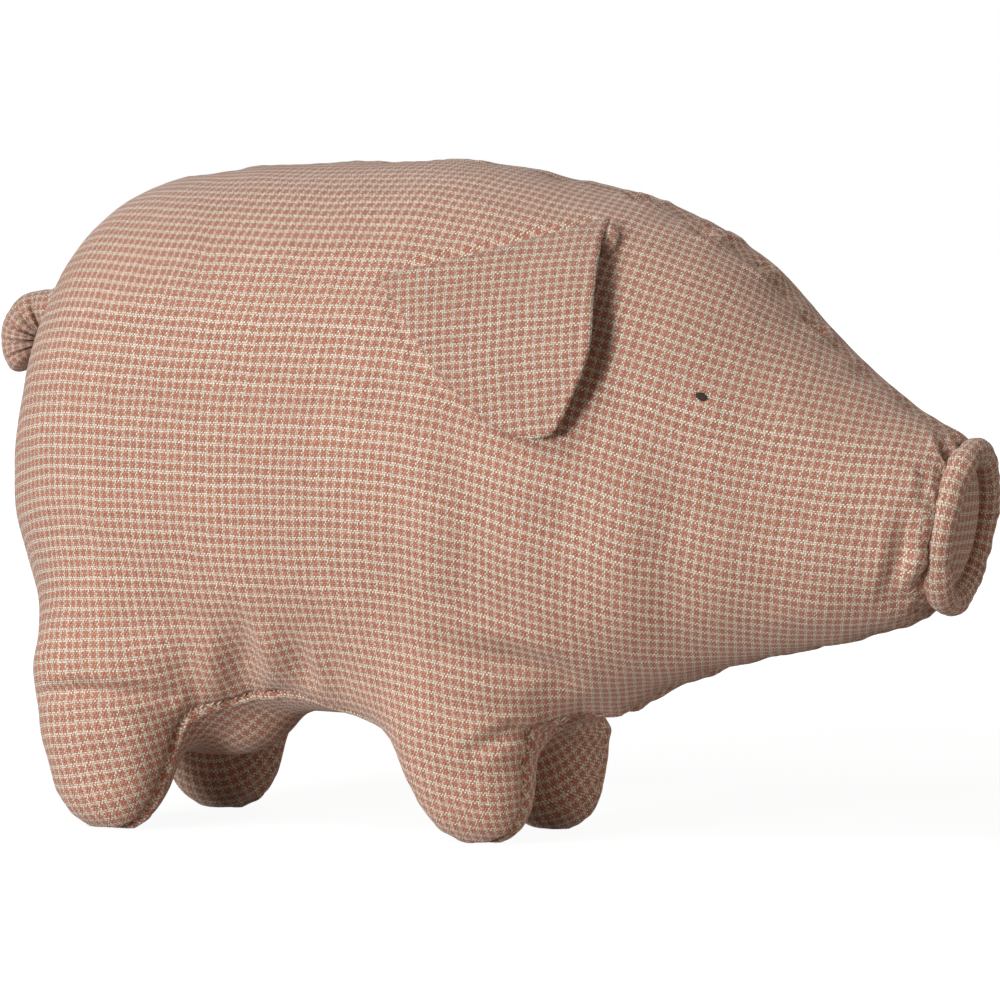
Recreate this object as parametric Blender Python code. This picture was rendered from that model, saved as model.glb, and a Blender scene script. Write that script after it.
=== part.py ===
"""Stuffed cloth pig, standing on four stub legs.

Two side panels and a belly gusset are sewn round the stuffing, each leg is an
outer and an inner cloth half round its own stuffing, and the rolled snout,
the two lined ears and the gathered tail are sewn on.
Metres, +X to the snout, +Y to the pig's left, +Z up, floor at z = 0.
"""

import math

import bmesh
import bpy
from mathutils import Matrix, Vector

# Cloth and seams
cloth = 0.0009  # thickness of the woven check
seam_gap = 0.0004  # between two pieces of cloth that meet at a seam
seat_gap = 0.0003  # between a piece and what it rests on

# Body, from the rump to the end that the snout is sewn to
body_length = 0.308
body_depth = 0.170  # from the belly to the back
body_width = 0.118
belly_clearance = 0.036  # from the floor to the belly
section_roundness = 0.9  # below 1 the sections are fuller than an ellipse
# Along the body, then top and bottom of the depth, half width, and how far
# the section leans with the snout.
body_shares = (
    (0.000, 0.450, 0.450, 0.000, 0.0),
    (0.007, 0.655, 0.275, 0.375, 0.0),
    (0.030, 0.785, 0.168, 0.650, 0.0),
    (0.073, 0.878, 0.082, 0.840, 0.0),
    (0.140, 0.943, 0.029, 0.955, 0.0),
    (0.248, 0.978, 0.006, 1.000, 0.0),
    (0.368, 0.996, 0.000, 1.000, 0.0),
    (0.492, 1.000, 0.000, 0.983, 0.0),
    (0.596, 0.975, 0.010, 0.958, 0.0),
    (0.687, 0.927, 0.056, 0.898, 0.0),
    (0.769, 0.845, 0.114, 0.780, 0.2),
    (0.844, 0.723, 0.147, 0.644, 0.5),
    (0.915, 0.598, 0.176, 0.525, 0.8),
    (0.974, 0.530, 0.212, 0.432, 1.0),
    (0.993, 0.516, 0.232, 0.373, 1.0),
    (1.000, 0.506, 0.246, 0.322, 1.0),
)
neck_row = 8  # the row where the head's stuffing meets the torso's
torso_segments = 16
head_segments = 11
side_segments = 10  # from the back seam down to the belly seam
belly_segments = 3  # from the belly seam to the middle of the gusset

# Belly gusset, widest between the legs and pointed at both ends
gusset_half_angle = math.radians(24)
gusset_ends_shares = (0.22, 0.66)  # along the rows of the body
gusset_fullness = 0.5

# Snout: a rolled ring of cloth with a padded disc inside it
snout_tilt = math.radians(10)  # the snout faces a little downwards
snout_height = 0.053
snout_width = 0.045
snout_roll = 0.0078  # diameter of the rolled ring
disc_clearance = 0.0004
disc_edge = 0.0022  # thickness of the disc at its rim
disc_crown = 0.0032  # how far its middle swells past the rim
ring_steps = 24
ring_sides = 8
disc_rings = 4

# Legs
leg_rise = 0.092  # from the floor to the top of the form, inside the body
foot_radius = 0.0150
sole_flat_depth = 0.0005  # how much of the round foot is flat on the floor
leg_depth_share = 0.88  # across the pig, against along it
leg_shares = (  # height, then radius along the pig, against the thickest
    (0.022, 0.385),
    (0.054, 0.540),
    (0.120, 0.655),
    (0.185, 0.745),
    (0.315, 0.860),
    (0.446, 0.960),
    (0.706, 1.000),
    (1.000, 0.850),
)
leg_thickest = 0.026  # largest radius along the pig
leg_segments = 14
rear_leg_back = 0.0425  # foot centre, from the rump
front_leg_back = 0.165
rear_leg_out = 0.037  # foot centre, from the middle of the pig
front_leg_out = 0.028
rear_lean_forward = 0.004  # top of the leg against the foot
front_lean_forward = -0.016
rear_lean_in = 0.008
front_lean_in = -0.001

# Ears: cloth and lining, hanging from a hem sewn to the head
ear_rows = (6.84, 8.77)  # body rows of the hem's rear and front end
ear_angles = (math.radians(34), math.radians(59))  # round the section
ear_length = 0.057  # down the side, from the hem to the tip
ear_slant = 0.026  # how far forward of the hem the tip hangs
ear_layer_gap = 0.0003
ear_hem_thickness = 0.0008
ear_hem_width = 0.0034
ear_root_gap = 0.0004  # between the hem and the lining
ear_lift_rear = 0.0010  # how far the rear edge stands off further down
ear_lift_front = 0.0072  # and the front edge
ear_shares = (  # down the ear, then rear and front edge along the hem
    (0.00, 0.00, 1.00),
    (0.12, 0.03, 0.95),
    (0.25, 0.05, 0.91),
    (0.50, 0.10, 0.82),
    (0.63, 0.16, 0.78),
    (0.75, 0.21, 0.73),
    (0.88, 0.28, 0.65),
    (0.96, 0.36, 0.59),
    (1.00, 0.45, 0.54),
)
ear_columns = 7
fall_steps = 6

# Tail: a gathered tube curled against the rump
tail_row = 1.02  # body row of the curl's middle, on the back seam
tail_curl = 0.0094  # radius of the curl
tail_thickness = 0.0128
tail_root_turn = math.radians(112)  # from the middle of the curl up to its root
tail_tip_turn = math.radians(64)  # and down to its tip
tail_tip_share = 0.62  # thickness at the tip
tail_gathers = 6
tail_gather_share = 0.16  # depth of a gather against the tube's radius
tail_steps = 24
tail_sides = 10

# Embroidered eyes
eye_row = 10.17
eye_angle = math.radians(20)
eye_length = 0.0036
eye_height = 0.0024
eye_thickness = 0.0007
eye_segments = 14

# Places that follow from the sizes
last_row = len(body_shares) - 1
roll_radius = snout_roll / 2
ring_height_radius = (snout_height - snout_roll) / 2
ring_width_radius = (snout_width - snout_roll) / 2
tail_radius = tail_thickness / 2
filling_inset = cloth + seat_gap


def spline(rows, t):
    """Smooth curve through the rows, one row per unit of t."""
    last = len(rows) - 1
    t = min(max(t, 0.0), float(last))
    i = min(int(t), last - 1)
    f = t - i
    p1 = rows[i]
    p2 = rows[i + 1]
    p0 = rows[i - 1] if i > 0 else tuple(2 * a - b for a, b in zip(p1, p2))
    p3 = rows[i + 2] if i + 2 <= last else tuple(2 * b - a for a, b in zip(p1, p2))
    out = []
    for a, b, c, d in zip(p0, p1, p2, p3):
        out.append(
            0.5
            * (
                2 * b
                + (c - a) * f
                + (2 * a - 5 * b + 4 * c - d) * f * f
                + (3 * b - a - 3 * c + d) * f * f * f
            )
        )
    return out


def body_row(t):
    """x from the rump, middle height, half height, half width and lean."""
    # Before the rump's pole the rows run on mirrored, so that the end is round.
    if t < 1:
        first = body_shares[1]
        before = (first[0], 2 * body_shares[0][1] - first[1])
        before += (2 * body_shares[0][2] - first[2], -first[3], 0.0)
        rows = (before,) + body_shares[:3]
        along, top, bottom, half, lean = spline(rows, t + 1)
    else:
        along, top, bottom, half, lean = spline(body_shares, t)
    middle = belly_clearance + body_depth * (top + bottom) / 2
    return (
        along * body_length,
        middle,
        body_depth * (top - bottom) / 2,
        half * body_width / 2,
        lean * math.tan(snout_tilt),
    )


def rounded(value):
    return math.copysign(abs(value) ** section_roundness, value)


def body_surface(t, angle):
    """Point of the body; the angle is 0 at the pig's left side, 90 degrees on top."""
    along, middle, half_height, half_width, lean = body_row(t)
    rise = half_height * rounded(math.sin(angle))
    across = half_width * rounded(math.cos(angle))
    return Vector((body_start + along + lean * rise, across, middle + rise))


def normal_of(surface, u, v, du, dv, u_range):
    """Unit normal of surface(u, v), from points on both sides."""
    low = max(u - du, u_range[0])
    high = min(u + du, u_range[1])
    along = surface(high, v) - surface(low, v)
    across = surface(u, v + dv) - surface(u, v - dv)
    return along.cross(across).normalized()


small_row = 0.02
small_angle = math.radians(0.5)


def on_body(t, angle, lift):
    """Point at this height over the body's cloth."""
    if t <= 0:
        return body_surface(0.0, angle) - Vector((lift, 0, 0))
    # A square on the axes of the section has no crease there, so the step is wide.
    normal = normal_of(body_surface, t, angle, small_row, small_angle, (0.0, last_row))
    outward = body_surface(t, angle) - body_surface(t, angle + math.pi)
    if normal.dot(outward) < 0:
        normal.negate()
    return body_surface(t, angle) + normal * lift


def body_normal(t, angle):
    return on_body(t, angle, 1.0) - on_body(t, angle, 0.0)


# The whole toy is centred on x = 0: the tail at one end, the ring at the other.
body_start = 0.0
rump_point = on_body(tail_row, math.pi / 2, 0.0)
snout_x = Vector((math.cos(snout_tilt), 0, -math.sin(snout_tilt)))
snout_z = Vector((math.sin(snout_tilt), 0, math.cos(snout_tilt)))
ring_front = body_length + (seat_gap + roll_radius) * snout_x.x
ring_front += ring_height_radius * snout_z.x + roll_radius
tail_back = rump_point.x - tail_curl - tail_radius
body_start = -(ring_front + tail_back) / 2
rump_point = on_body(tail_row, math.pi / 2, 0.0)
snout_centre = Vector((body_start + body_length, 0, body_row(last_row)[1]))


# Building helpers
def material(name, colour, roughness=0.95):
    made = bpy.data.materials.new(name)
    made.use_nodes = True
    shader = made.node_tree.nodes["Principled BSDF"]
    shader.inputs["Base Color"].default_value = (*colour, 1.0)
    shader.inputs["Roughness"].default_value = roughness
    shader.inputs["Metallic"].default_value = 0.0
    made.diffuse_color = (*colour, 1.0)
    return made


def empty(name, place, parent=None):
    made = bpy.data.objects.new(name, None)
    bpy.context.scene.collection.objects.link(made)
    made.empty_display_size = snout_roll
    made.location = place
    if parent:
        made.parent = parent
        made.location = place - parent.location
    return made


def solid(name, corners, faces, look, origin, parent, side=1):
    """One closed mesh about its origin; side -1 mirrors it to the pig's right."""
    flip = Matrix.Diagonal((1, side, 1))
    mesh = bpy.data.meshes.new(name)
    build = bmesh.new()
    made = {}
    ring = []
    for corner in corners:
        place = flip @ corner - origin
        key = tuple(round(value / weld) for value in place)
        if key not in made:
            made[key] = build.verts.new(place)
        ring.append(made[key])
    for face in faces:
        loop = []
        for index in face:
            if ring[index] not in loop:
                loop.append(ring[index])
        if len(loop) == 3:
            build.faces.new(loop)
    bmesh.ops.recalc_face_normals(build, faces=build.faces)
    build.to_mesh(mesh)
    build.free()
    mesh.materials.append(look)
    mesh.shade_smooth()
    mesh.set_sharp_from_angle(angle=math.radians(50))
    made_object = bpy.data.objects.new(name, mesh)
    bpy.context.scene.collection.objects.link(made_object)
    made_object.location = origin - (parent.location if parent else Vector())
    if parent and parent.parent:
        made_object.location -= parent.parent.location
    made_object.parent = parent
    return made_object


weld = 0.000002


def grid_faces(rows, columns, start=0, wrap=False, turned_from=None):
    """Triangles of a grid of points laid out row by row.

    From the column turned_from on, the diagonals run the other way, so that
    the two sides of a symmetric piece match.
    """
    faces = []
    for i in range(rows - 1):
        for j in range(columns if wrap else columns - 1):
            k = (j + 1) % columns
            first = start + i * columns
            second = first + columns
            if turned_from is None or j < turned_from:
                faces.append((first + j, first + k, second + k))
                faces.append((first + j, second + k, second + j))
            else:
                faces.append((first + j, first + k, second + j))
                faces.append((first + k, second + k, second + j))
    return faces


def tube(name, rings, look, origin, parent, side=1, closed=False, turned_from=None):
    """Solid through rings of points, closed on itself or with an end on each side."""
    count = len(rings[0])
    if closed:
        rings = rings + [rings[0]]
    corners = [corner for ring in rings for corner in ring]
    faces = grid_faces(len(rings), count, 0, True, turned_from)
    if not closed:
        for start, ring in ((0, rings[0]), ((len(rings) - 1) * count, rings[-1])):
            corners.append(sum(ring, Vector()) / count)
            for j in range(count):
                faces.append((start + j, start + (j + 1) % count, len(corners) - 1))
    return solid(name, corners, faces, look, origin, parent, side)


def sheet(name, outer, inner, look, origin, parent, side=1, turned_from=None):
    """Cloth between two grids of points of the same shape, closed at its edges."""
    rows = len(outer)
    columns = len(outer[0])
    count = rows * columns
    corners = [corner for row in outer for corner in row]
    corners += [corner for row in inner for corner in row]
    faces = grid_faces(rows, columns, 0, False, turned_from)
    faces += grid_faces(rows, columns, count, False, turned_from)
    border = [(0, j) for j in range(columns)]
    border += [(i, columns - 1) for i in range(1, rows)]
    border += [(rows - 1, j) for j in range(columns - 2, -1, -1)]
    border += [(i, 0) for i in range(rows - 2, 0, -1)]
    for (a, b), (c, d) in zip(border, border[1:] + border[:1]):
        first = a * columns + b
        second = c * columns + d
        faces.append((first, second, count + second))
        faces.append((first, count + second, count + first))
    return solid(name, corners, faces, look, origin, parent, side)


def cut(target, cutter):
    """The larger form is taken out of the smaller."""
    boolean = target.modifiers.new("Seat on " + cutter.name, "BOOLEAN")
    boolean.operation = "DIFFERENCE"
    boolean.solver = "EXACT"
    boolean.object = cutter


def hide(helper):
    helper.hide_render = True
    helper.display_type = "WIRE"


for old in list(bpy.data.objects):
    bpy.data.objects.remove(old, do_unlink=True)

check_cloth = material("check_cloth", (0.55, 0.27, 0.20))
gusset_cloth = material("gusset_cloth", (0.52, 0.26, 0.20))
inner_leg_cloth = material("inner_leg_cloth", (0.50, 0.25, 0.19))
snout_cloth = material("snout_cloth", (0.50, 0.25, 0.19))
disc_cloth = material("disc_cloth", (0.46, 0.22, 0.17))
ear_cloth = material("ear_cloth", (0.55, 0.28, 0.21))
ear_lining = material("ear_lining", (0.42, 0.19, 0.15))
hem_cloth = material("hem_cloth", (0.48, 0.23, 0.18))
tail_cloth = material("tail_cloth", (0.50, 0.24, 0.18))
eye_thread = material("eye_thread", (0.045, 0.035, 0.035), 0.8)
stuffing = material("stuffing", (0.85, 0.84, 0.80))

pig = empty("pig", Vector((0, 0, 0)))


# The grid that the fillings and the panels share
def gusset_angle(t):
    """Half angle of the belly gusset at this row, nothing beyond its ends."""
    start, end = (share * last_row for share in gusset_ends_shares)
    if t <= start or t >= end:
        return 0.0
    middle = math.sin(math.pi * (t - start) / (end - start))
    return gusset_half_angle * middle**gusset_fullness


def stations():
    rows = [neck_row * i / torso_segments for i in range(torso_segments)]
    span = last_row - neck_row
    return rows + [neck_row + span * i / head_segments for i in range(head_segments + 1)]


def half_angles(t):
    """Angles down the pig's left side, from the back seam to the belly's middle."""
    top = math.pi / 2
    seam = -math.pi / 2 + gusset_angle(t)
    side = [top + (seam - top) * j / side_segments for j in range(side_segments + 1)]
    steps = [j / belly_segments for j in range(1, belly_segments + 1)]
    return side + [seam * (1 - step) - top * step for step in steps]


def whole_ring(t, lift):
    left = [on_body(t, angle, lift) for angle in half_angles(t)]
    right = [Vector((p.x, -p.y, p.z)) for p in reversed(left[1:-1])]
    left[0].y = 0.0
    left[-1].y = 0.0
    return left + right


every_row = stations()
torso_rings = [whole_ring(t, -filling_inset) for t in every_row[: torso_segments + 1]]
head_rings = [whole_ring(t, -filling_inset) for t in every_row[torso_segments:]]
for corner in head_rings[0]:
    corner.x += seat_gap
for corner in torso_rings[0]:
    corner.y = 0.0
    corner.z = torso_rings[0][0].z
middle_x = body_start + body_length * body_shares[neck_row // 2][0]
torso_middle = Vector((middle_x, 0, body_row(neck_row / 2)[1]))
neck_middle = Vector((body_surface(neck_row, 0).x, 0, body_row(neck_row)[1]))
ring_middle = side_segments + belly_segments
tube("torso_filling", torso_rings, stuffing, torso_middle, pig, turned_from=ring_middle)
tube("head_filling", head_rings, stuffing, neck_middle, pig, turned_from=ring_middle)


# Side panels, from the rump to the snout
def panel_point(t, index, lift):
    angles = half_angles(t)
    place = on_body(t, angles[index], lift)
    half_gap = seam_gap / 2
    if index == 0:
        place.y = half_gap
    elif index == side_segments:
        if gusset_angle(t) > 0:
            step = on_body(t, angles[index - 1], lift) - place
            place += step.normalized() * half_gap
        else:
            place.y = half_gap
    return place if t > 0 else Vector((place.x, half_gap, place.z))


for name, side in (("left_side_panel", 1), ("right_side_panel", -1)):
    outer, inner = (
        [[panel_point(t, j, lift) for j in range(side_segments + 1)] for t in every_row]
        for lift in (0.0, -cloth)
    )
    sheet(name, outer, inner, check_cloth, Vector((neck_middle.x, 0, neck_middle.z)), pig, side)


# Belly gusset
def gusset_row(t, lift):
    angles = half_angles(t)[side_segments:]
    half = [on_body(t, angle, lift) for angle in angles]
    half[-1].y = 0.0
    step = half[1] - half[0]
    half[0] += step.normalized() * (seam_gap / 2)
    return half + [Vector((p.x, -p.y, p.z)) for p in reversed(half[:-1])]


def gusset_point(t, lift):
    place = on_body(t, -math.pi / 2, lift)
    return [Vector((place.x, 0, place.z))] * (2 * belly_segments + 1)


inside = [i for i, t in enumerate(every_row) if gusset_angle(t) > 0]
outer, inner = (
    [gusset_point(every_row[inside[0] - 1], lift)]
    + [gusset_row(every_row[i], lift) for i in inside]
    + [gusset_point(every_row[inside[-1] + 1], lift)]
    for lift in (0.0, -cloth)
)
belly_middle = Vector((torso_middle.x, 0, belly_clearance))
sheet("belly_panel", outer, inner, gusset_cloth, belly_middle, pig, turned_from=belly_segments)

# The body's own form, grown by the gap that the legs and the tail keep to it
grown_rings = [whole_ring(t, seat_gap) for t in every_row]
body_cutter = tube("body_cutter", grown_rings, stuffing, torso_middle, pig, turned_from=ring_middle)
hide(body_cutter)


# Legs
sole_radius = math.sqrt(foot_radius**2 - (foot_radius - sole_flat_depth) ** 2)
leg_rows = ((0.0, sole_radius / leg_thickest),) + leg_shares


def leg_surface(place, lean, height_share, angle):
    """Point of a leg's cloth; the angle is 0 outwards and 90 degrees forwards."""
    radius = leg_radius(height_share)
    x = place.x + lean.x * height_share + radius * math.sin(angle)
    y = place.y - lean.y * height_share + radius * leg_depth_share * math.cos(angle)
    return Vector((x, y, leg_rise * height_share))


def leg_radius(height_share):
    """Radius along the pig, straight between the rows that the rings stand on."""
    for (low, small), (high, large) in zip(leg_rows, leg_rows[1:]):
        if height_share <= high:
            return leg_thickest * (small + (large - small) * (height_share - low) / (high - low))
    return leg_thickest * leg_rows[-1][1]


def leg_ring(place, lean, index, angles, inset):
    """Ring of a leg at a row of its shares, moved inwards square to the cloth."""
    share, radius_share = leg_rows[index]
    before = leg_rows[max(index - 1, 0)]
    after = leg_rows[min(index + 1, len(leg_rows) - 1)]
    slope = Vector(((after[1] - before[1]) * leg_thickest, (after[0] - before[0]) * leg_rise))
    if index == 0:
        slope = Vector((1, 1))
    slope.normalize()
    ring = []
    for angle in angles:
        out = Vector((math.sin(angle), leg_depth_share * math.cos(angle), 0)).normalized()
        normal = out * slope.y - Vector((0, 0, slope.x))
        corner = leg_surface(place, lean, share, angle) - normal * inset
        if index == 0:
            corner = leg_surface(place, lean, share, angle) - out * inset * slope.y
            corner.z = inset
        ring.append(corner)
    return ring


def seam_side(ring, seam_y, inner):
    """The ring's two ends stop half a seam's gap from the seam's plane."""
    offset = -seam_gap / 2 if inner else seam_gap / 2
    for corner in (ring[0], ring[-1]):
        corner.y = seam_y + offset
    return ring


def leg_half(place, lean, inset, inner):
    start = math.pi / 2 if inner else -math.pi / 2
    half = leg_segments // 2
    angles = [start + math.pi * j / half for j in range(half + 1)]
    rings = []
    for index, (share, _) in enumerate(leg_rows):
        seam_y = place.y - lean.y * share
        ring = leg_ring(place, lean, index, angles, inset)
        rings.append(seam_side(ring, seam_y, inner))
    centre = seam_side([Vector((place.x, place.y, inset))], place.y, inner)[0]
    return [[centre.copy() for _ in angles]] + rings


def make_leg(name, place, lean, side):
    origin = Vector((place.x, place.y * side, 0))
    for half, inner in (("outer", False), ("inner", True)):
        outer_rings = leg_half(place, lean, 0.0, inner)
        inner_rings = leg_half(place, lean, cloth, inner)
        look = inner_leg_cloth if inner else check_cloth
        cover = sheet(f"{name}_{half}_cover", outer_rings, inner_rings, look, origin, pig, side)
        cut(cover, body_cutter)
    angles = [2 * math.pi * j / leg_segments - math.pi / 2 for j in range(leg_segments)]
    rings = [leg_ring(place, lean, i, angles, filling_inset) for i in range(len(leg_rows))]
    filling = tube(f"{name}_filling", rings, stuffing, origin, pig, side)
    cut(filling, body_cutter)


for end, back, out, forward, inwards in (
    ("rear", rear_leg_back, rear_leg_out, rear_lean_forward, rear_lean_in),
    ("front", front_leg_back, front_leg_out, front_lean_forward, front_lean_in),
):
    foot = Vector((body_start + back, out, 0))
    for hand, side in (("left", 1), ("right", -1)):
        make_leg(f"{hand}_{end}_leg", foot, Vector((forward, inwards)), side)


# Snout
def snout_place(forward, across, up):
    return snout_centre + snout_x * forward + Vector((0, across, 0)) + snout_z * up


ring_rings = []
for i in range(ring_steps):
    turn = 2 * math.pi * i / ring_steps
    ring = []
    for j in range(ring_sides):
        roll = 2 * math.pi * j / ring_sides
        out = roll_radius * math.cos(roll)
        across = (ring_width_radius + out) * math.cos(turn)
        up = (ring_height_radius + out) * math.sin(turn)
        ring.append(snout_place(seat_gap + roll_radius + roll_radius * math.sin(roll), across, up))
    ring_rings.append(ring)
tube("snout_ring", ring_rings, snout_cloth, snout_centre, pig, closed=True)

disc_height = ring_height_radius - roll_radius - disc_clearance
disc_width = ring_width_radius - roll_radius - disc_clearance
disc_profile = [(seat_gap, 1.0)]
for i in range(disc_rings + 1):
    quarter = math.pi / 2 * i / disc_rings
    swell = disc_edge + disc_crown * math.sin(quarter)
    disc_profile.append((seat_gap + swell, math.cos(quarter)))
disc_loops = []
for forward, share in disc_profile:
    loop = []
    for i in range(ring_steps):
        turn = 2 * math.pi * i / ring_steps
        across = disc_width * share * math.cos(turn)
        up = disc_height * share * math.sin(turn)
        loop.append(snout_place(forward, across, up))
    disc_loops.append(loop)
tube("snout_disc", disc_loops, disc_cloth, snout_centre, pig)

# Ears
ear_thickness = 2 * cloth + ear_layer_gap
ear_root_lift = seat_gap + ear_hem_thickness + ear_root_gap + ear_thickness / 2


def ear_base(along, down):
    """Row and angle of the body under a place on the ear."""
    t = ear_rows[0] + (ear_rows[1] - ear_rows[0]) * along
    angle = ear_angles[0] + (ear_angles[1] - ear_angles[0]) * along
    # The ear's length is followed round the section in short steps.
    for _ in range(fall_steps):
        here = body_surface(t, angle)
        row_step = (body_surface(t + small_row, angle) - here).length / small_row
        angle_step = (body_surface(t, angle - small_angle) - here).length / small_angle
        t += ear_slant * down / fall_steps / row_step
        angle -= ear_length * down / fall_steps / angle_step
    return t, angle


def ear_middle(along, down):
    """Middle of the ear's thickness."""
    t, angle = ear_base(along, down)
    spread = math.sin(math.pi / 2 * min(down, 1.0))
    lift = ear_root_lift + spread * (ear_lift_rear + (ear_lift_front - ear_lift_rear) * along**2)
    return on_body(t, angle, lift)


small_share = 0.01


def ear_point(along, down, lift):
    normal = normal_of(ear_middle, along, down, small_share, small_share, (0.0, 1.0))
    t, angle = ear_base(along, down)
    if normal.dot(body_normal(t, angle)) < 0:
        normal.negate()
    return ear_middle(along, down) + normal * lift


def ear_grid(lift):
    grid = []
    for down, rear, front in ear_shares:
        along = [rear + (front - rear) * j / ear_columns for j in range(ear_columns + 1)]
        grid.append([ear_point(value, down, lift) for value in along])
    return grid


def hem_grid(lift):
    grid = []
    for offset in (ear_hem_width / 2, 0.0, -ear_hem_width / 2):
        grid.append([])
        for j in range(ear_columns + 1):
            t, angle = ear_base(j / ear_columns, 0.0)
            root = body_surface(t, angle)
            angle_step = (body_surface(t, angle + small_angle) - root).length / small_angle
            grid[-1].append(on_body(t, angle + offset / angle_step, lift))
    return grid


ear_hinge = ear_middle(0.5, 0.0)
for hand, side in (("left", 1), ("right", -1)):
    hinge_place = Vector((ear_hinge.x, ear_hinge.y * side, ear_hinge.z))
    hinge = empty(f"{hand}_ear_hinge", hinge_place, pig)
    half_gap = ear_layer_gap / 2
    sheet(
        f"{hand}_ear_outer",
        ear_grid(half_gap + cloth),
        ear_grid(half_gap),
        ear_cloth,
        hinge_place,
        hinge,
        side,
    )
    sheet(
        f"{hand}_ear_lining",
        ear_grid(-half_gap),
        ear_grid(-half_gap - cloth),
        ear_lining,
        hinge_place,
        hinge,
        side,
    )
    sheet(
        f"{hand}_ear_hem",
        hem_grid(seat_gap + ear_hem_thickness),
        hem_grid(seat_gap),
        hem_cloth,
        hinge_place,
        pig,
        side,
    )

# Tail
tail_out = body_normal(tail_row, math.pi / 2)
tail_out.y = 0.0
tail_out.normalize()
tail_up = Vector((-tail_out.z, 0, tail_out.x))
if tail_up.z < 0:
    tail_up.negate()
tail_rings = []
for i in range(tail_steps + 1):
    share = i / tail_steps
    turn = tail_root_turn - (tail_root_turn + tail_tip_turn) * share
    direction = tail_out * math.cos(turn) + tail_up * math.sin(turn)
    taper = 1 - (1 - tail_tip_share) * share**2
    if i == tail_steps:
        taper *= tail_tip_share
    ring = []
    for j in range(tail_sides):
        roll = 2 * math.pi * j / tail_sides
        inner_side = (1 - math.cos(roll)) / 2
        wave = math.cos(2 * math.pi * tail_gathers * share)
        gather = tail_gather_share * (1 - wave) / 2 * inner_side
        radius = tail_radius * taper * (1 - gather)
        place = rump_point + direction * (tail_curl + radius * math.cos(roll))
        ring.append(place + Vector((0, radius * math.sin(roll), 0)))
    tail_rings.append(ring)
# The tail lifts about the upper edge of its root, where its outside meets the rump.
hinge_row = tail_row
while (body_surface(hinge_row, math.pi / 2) - rump_point).length < tail_curl + tail_radius:
    hinge_row += small_row
tail_hinge_place = on_body(hinge_row, math.pi / 2, seat_gap)
tail_hinge_place.y = 0.0
tail_hinge = empty("tail_hinge", tail_hinge_place, pig)
tail = tube("tail", tail_rings, tail_cloth, tail_hinge_place, tail_hinge)
cut(tail, body_cutter)

# Eyes
eye_out = body_normal(eye_row, eye_angle)
eye_centre = on_body(eye_row, eye_angle, seat_gap)
eye_along = body_surface(eye_row + small_row, eye_angle) - body_surface(eye_row, eye_angle)
eye_along = (eye_along - eye_out * eye_along.dot(eye_out)).normalized()
eye_up = eye_out.cross(eye_along)
eye_profile_shares = ((0.0, 1.0), (0.5, 0.9), (0.85, 0.55), (1.0, 0.15))
eye_rings = []
for rise, share in eye_profile_shares:
    ring = []
    for j in range(eye_segments):
        turn = 2 * math.pi * j / eye_segments
        place = eye_centre + eye_out * (eye_thickness * rise)
        place += eye_along * (eye_length / 2 * share * math.cos(turn))
        place += eye_up * (eye_height / 2 * share * math.sin(turn))
        ring.append(place)
    eye_rings.append(ring)
for hand, side in (("left", 1), ("right", -1)):
    place = Vector((eye_centre.x, eye_centre.y * side, eye_centre.z))
    tube(f"{hand}_eye", eye_rings, eye_thread, place, pig, side)
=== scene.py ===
# %% [markdown]
# # A stuffed pig of checked cloth
#
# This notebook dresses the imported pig. The frame below is the fixed model: it
# says where every piece is and how the ears and the tail move. The real toy is
# cut flat from one woven check, sewn together and stuffed until the cloth is
# tight, so that is the order here too: form, seams, flat pattern, folds, the
# cloth itself, then the small sewn-on pieces and the studio.

# %% Load the frame
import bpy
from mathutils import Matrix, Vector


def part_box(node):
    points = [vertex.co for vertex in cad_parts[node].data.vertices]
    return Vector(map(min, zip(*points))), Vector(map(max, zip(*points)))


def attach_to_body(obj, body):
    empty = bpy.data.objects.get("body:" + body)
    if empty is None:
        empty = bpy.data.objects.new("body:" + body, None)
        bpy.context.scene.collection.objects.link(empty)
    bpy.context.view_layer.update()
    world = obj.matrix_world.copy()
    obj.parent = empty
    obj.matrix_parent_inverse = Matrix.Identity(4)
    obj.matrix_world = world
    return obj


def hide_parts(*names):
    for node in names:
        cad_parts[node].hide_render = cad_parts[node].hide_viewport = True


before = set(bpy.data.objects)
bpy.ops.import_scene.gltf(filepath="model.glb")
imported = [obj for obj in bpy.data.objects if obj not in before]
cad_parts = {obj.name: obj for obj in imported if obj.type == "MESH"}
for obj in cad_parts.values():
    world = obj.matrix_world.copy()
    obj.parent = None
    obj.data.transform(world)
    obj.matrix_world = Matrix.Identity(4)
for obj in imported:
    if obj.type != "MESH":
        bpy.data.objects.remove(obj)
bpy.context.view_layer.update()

# %% Modules and units
import math

import bmesh
import bpy
import numpy as np
from mathutils import Matrix, Vector, noise
from mathutils.bvhtree import BVHTree
from mathutils.kdtree import KDTree

mm = 0.001
scene = bpy.context.scene

# %% [markdown]
# ## Small tools
#
# Directions and turns, Blender's lists as arrays, and a tree that finds the
# nearest of many places. The cells below share them.

# %% Small tools
def towards(azimuth, elevation):
    """Direction turned from the pig's right side towards its snout, and up."""
    flat = math.cos(elevation)
    return Vector((math.sin(azimuth) * flat, -math.cos(azimuth) * flat, math.sin(elevation)))


def full_turn(count):
    """Angles in even steps once round."""
    return np.linspace(0, 2 * math.pi, count, endpoint=False)


def unit(vectors):
    return vectors / np.maximum(np.linalg.norm(vectors, axis=-1, keepdims=True), 1e-12)


def listed(items, name, width=1, kind=float):
    """What each item of one of Blender's lists says under this name, as an array."""
    flat = np.empty(len(items) * width, kind)
    items.foreach_get(name, flat)
    return flat.reshape(-1, width) if width > 1 else flat


def tree_of(places):
    """A tree that finds the nearest of these places."""
    tree = KDTree(len(places))
    for k, place in enumerate(places):
        tree.insert(place, k)
    tree.balance()
    return tree


print("units: metres, and mm for", mm)

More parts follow.
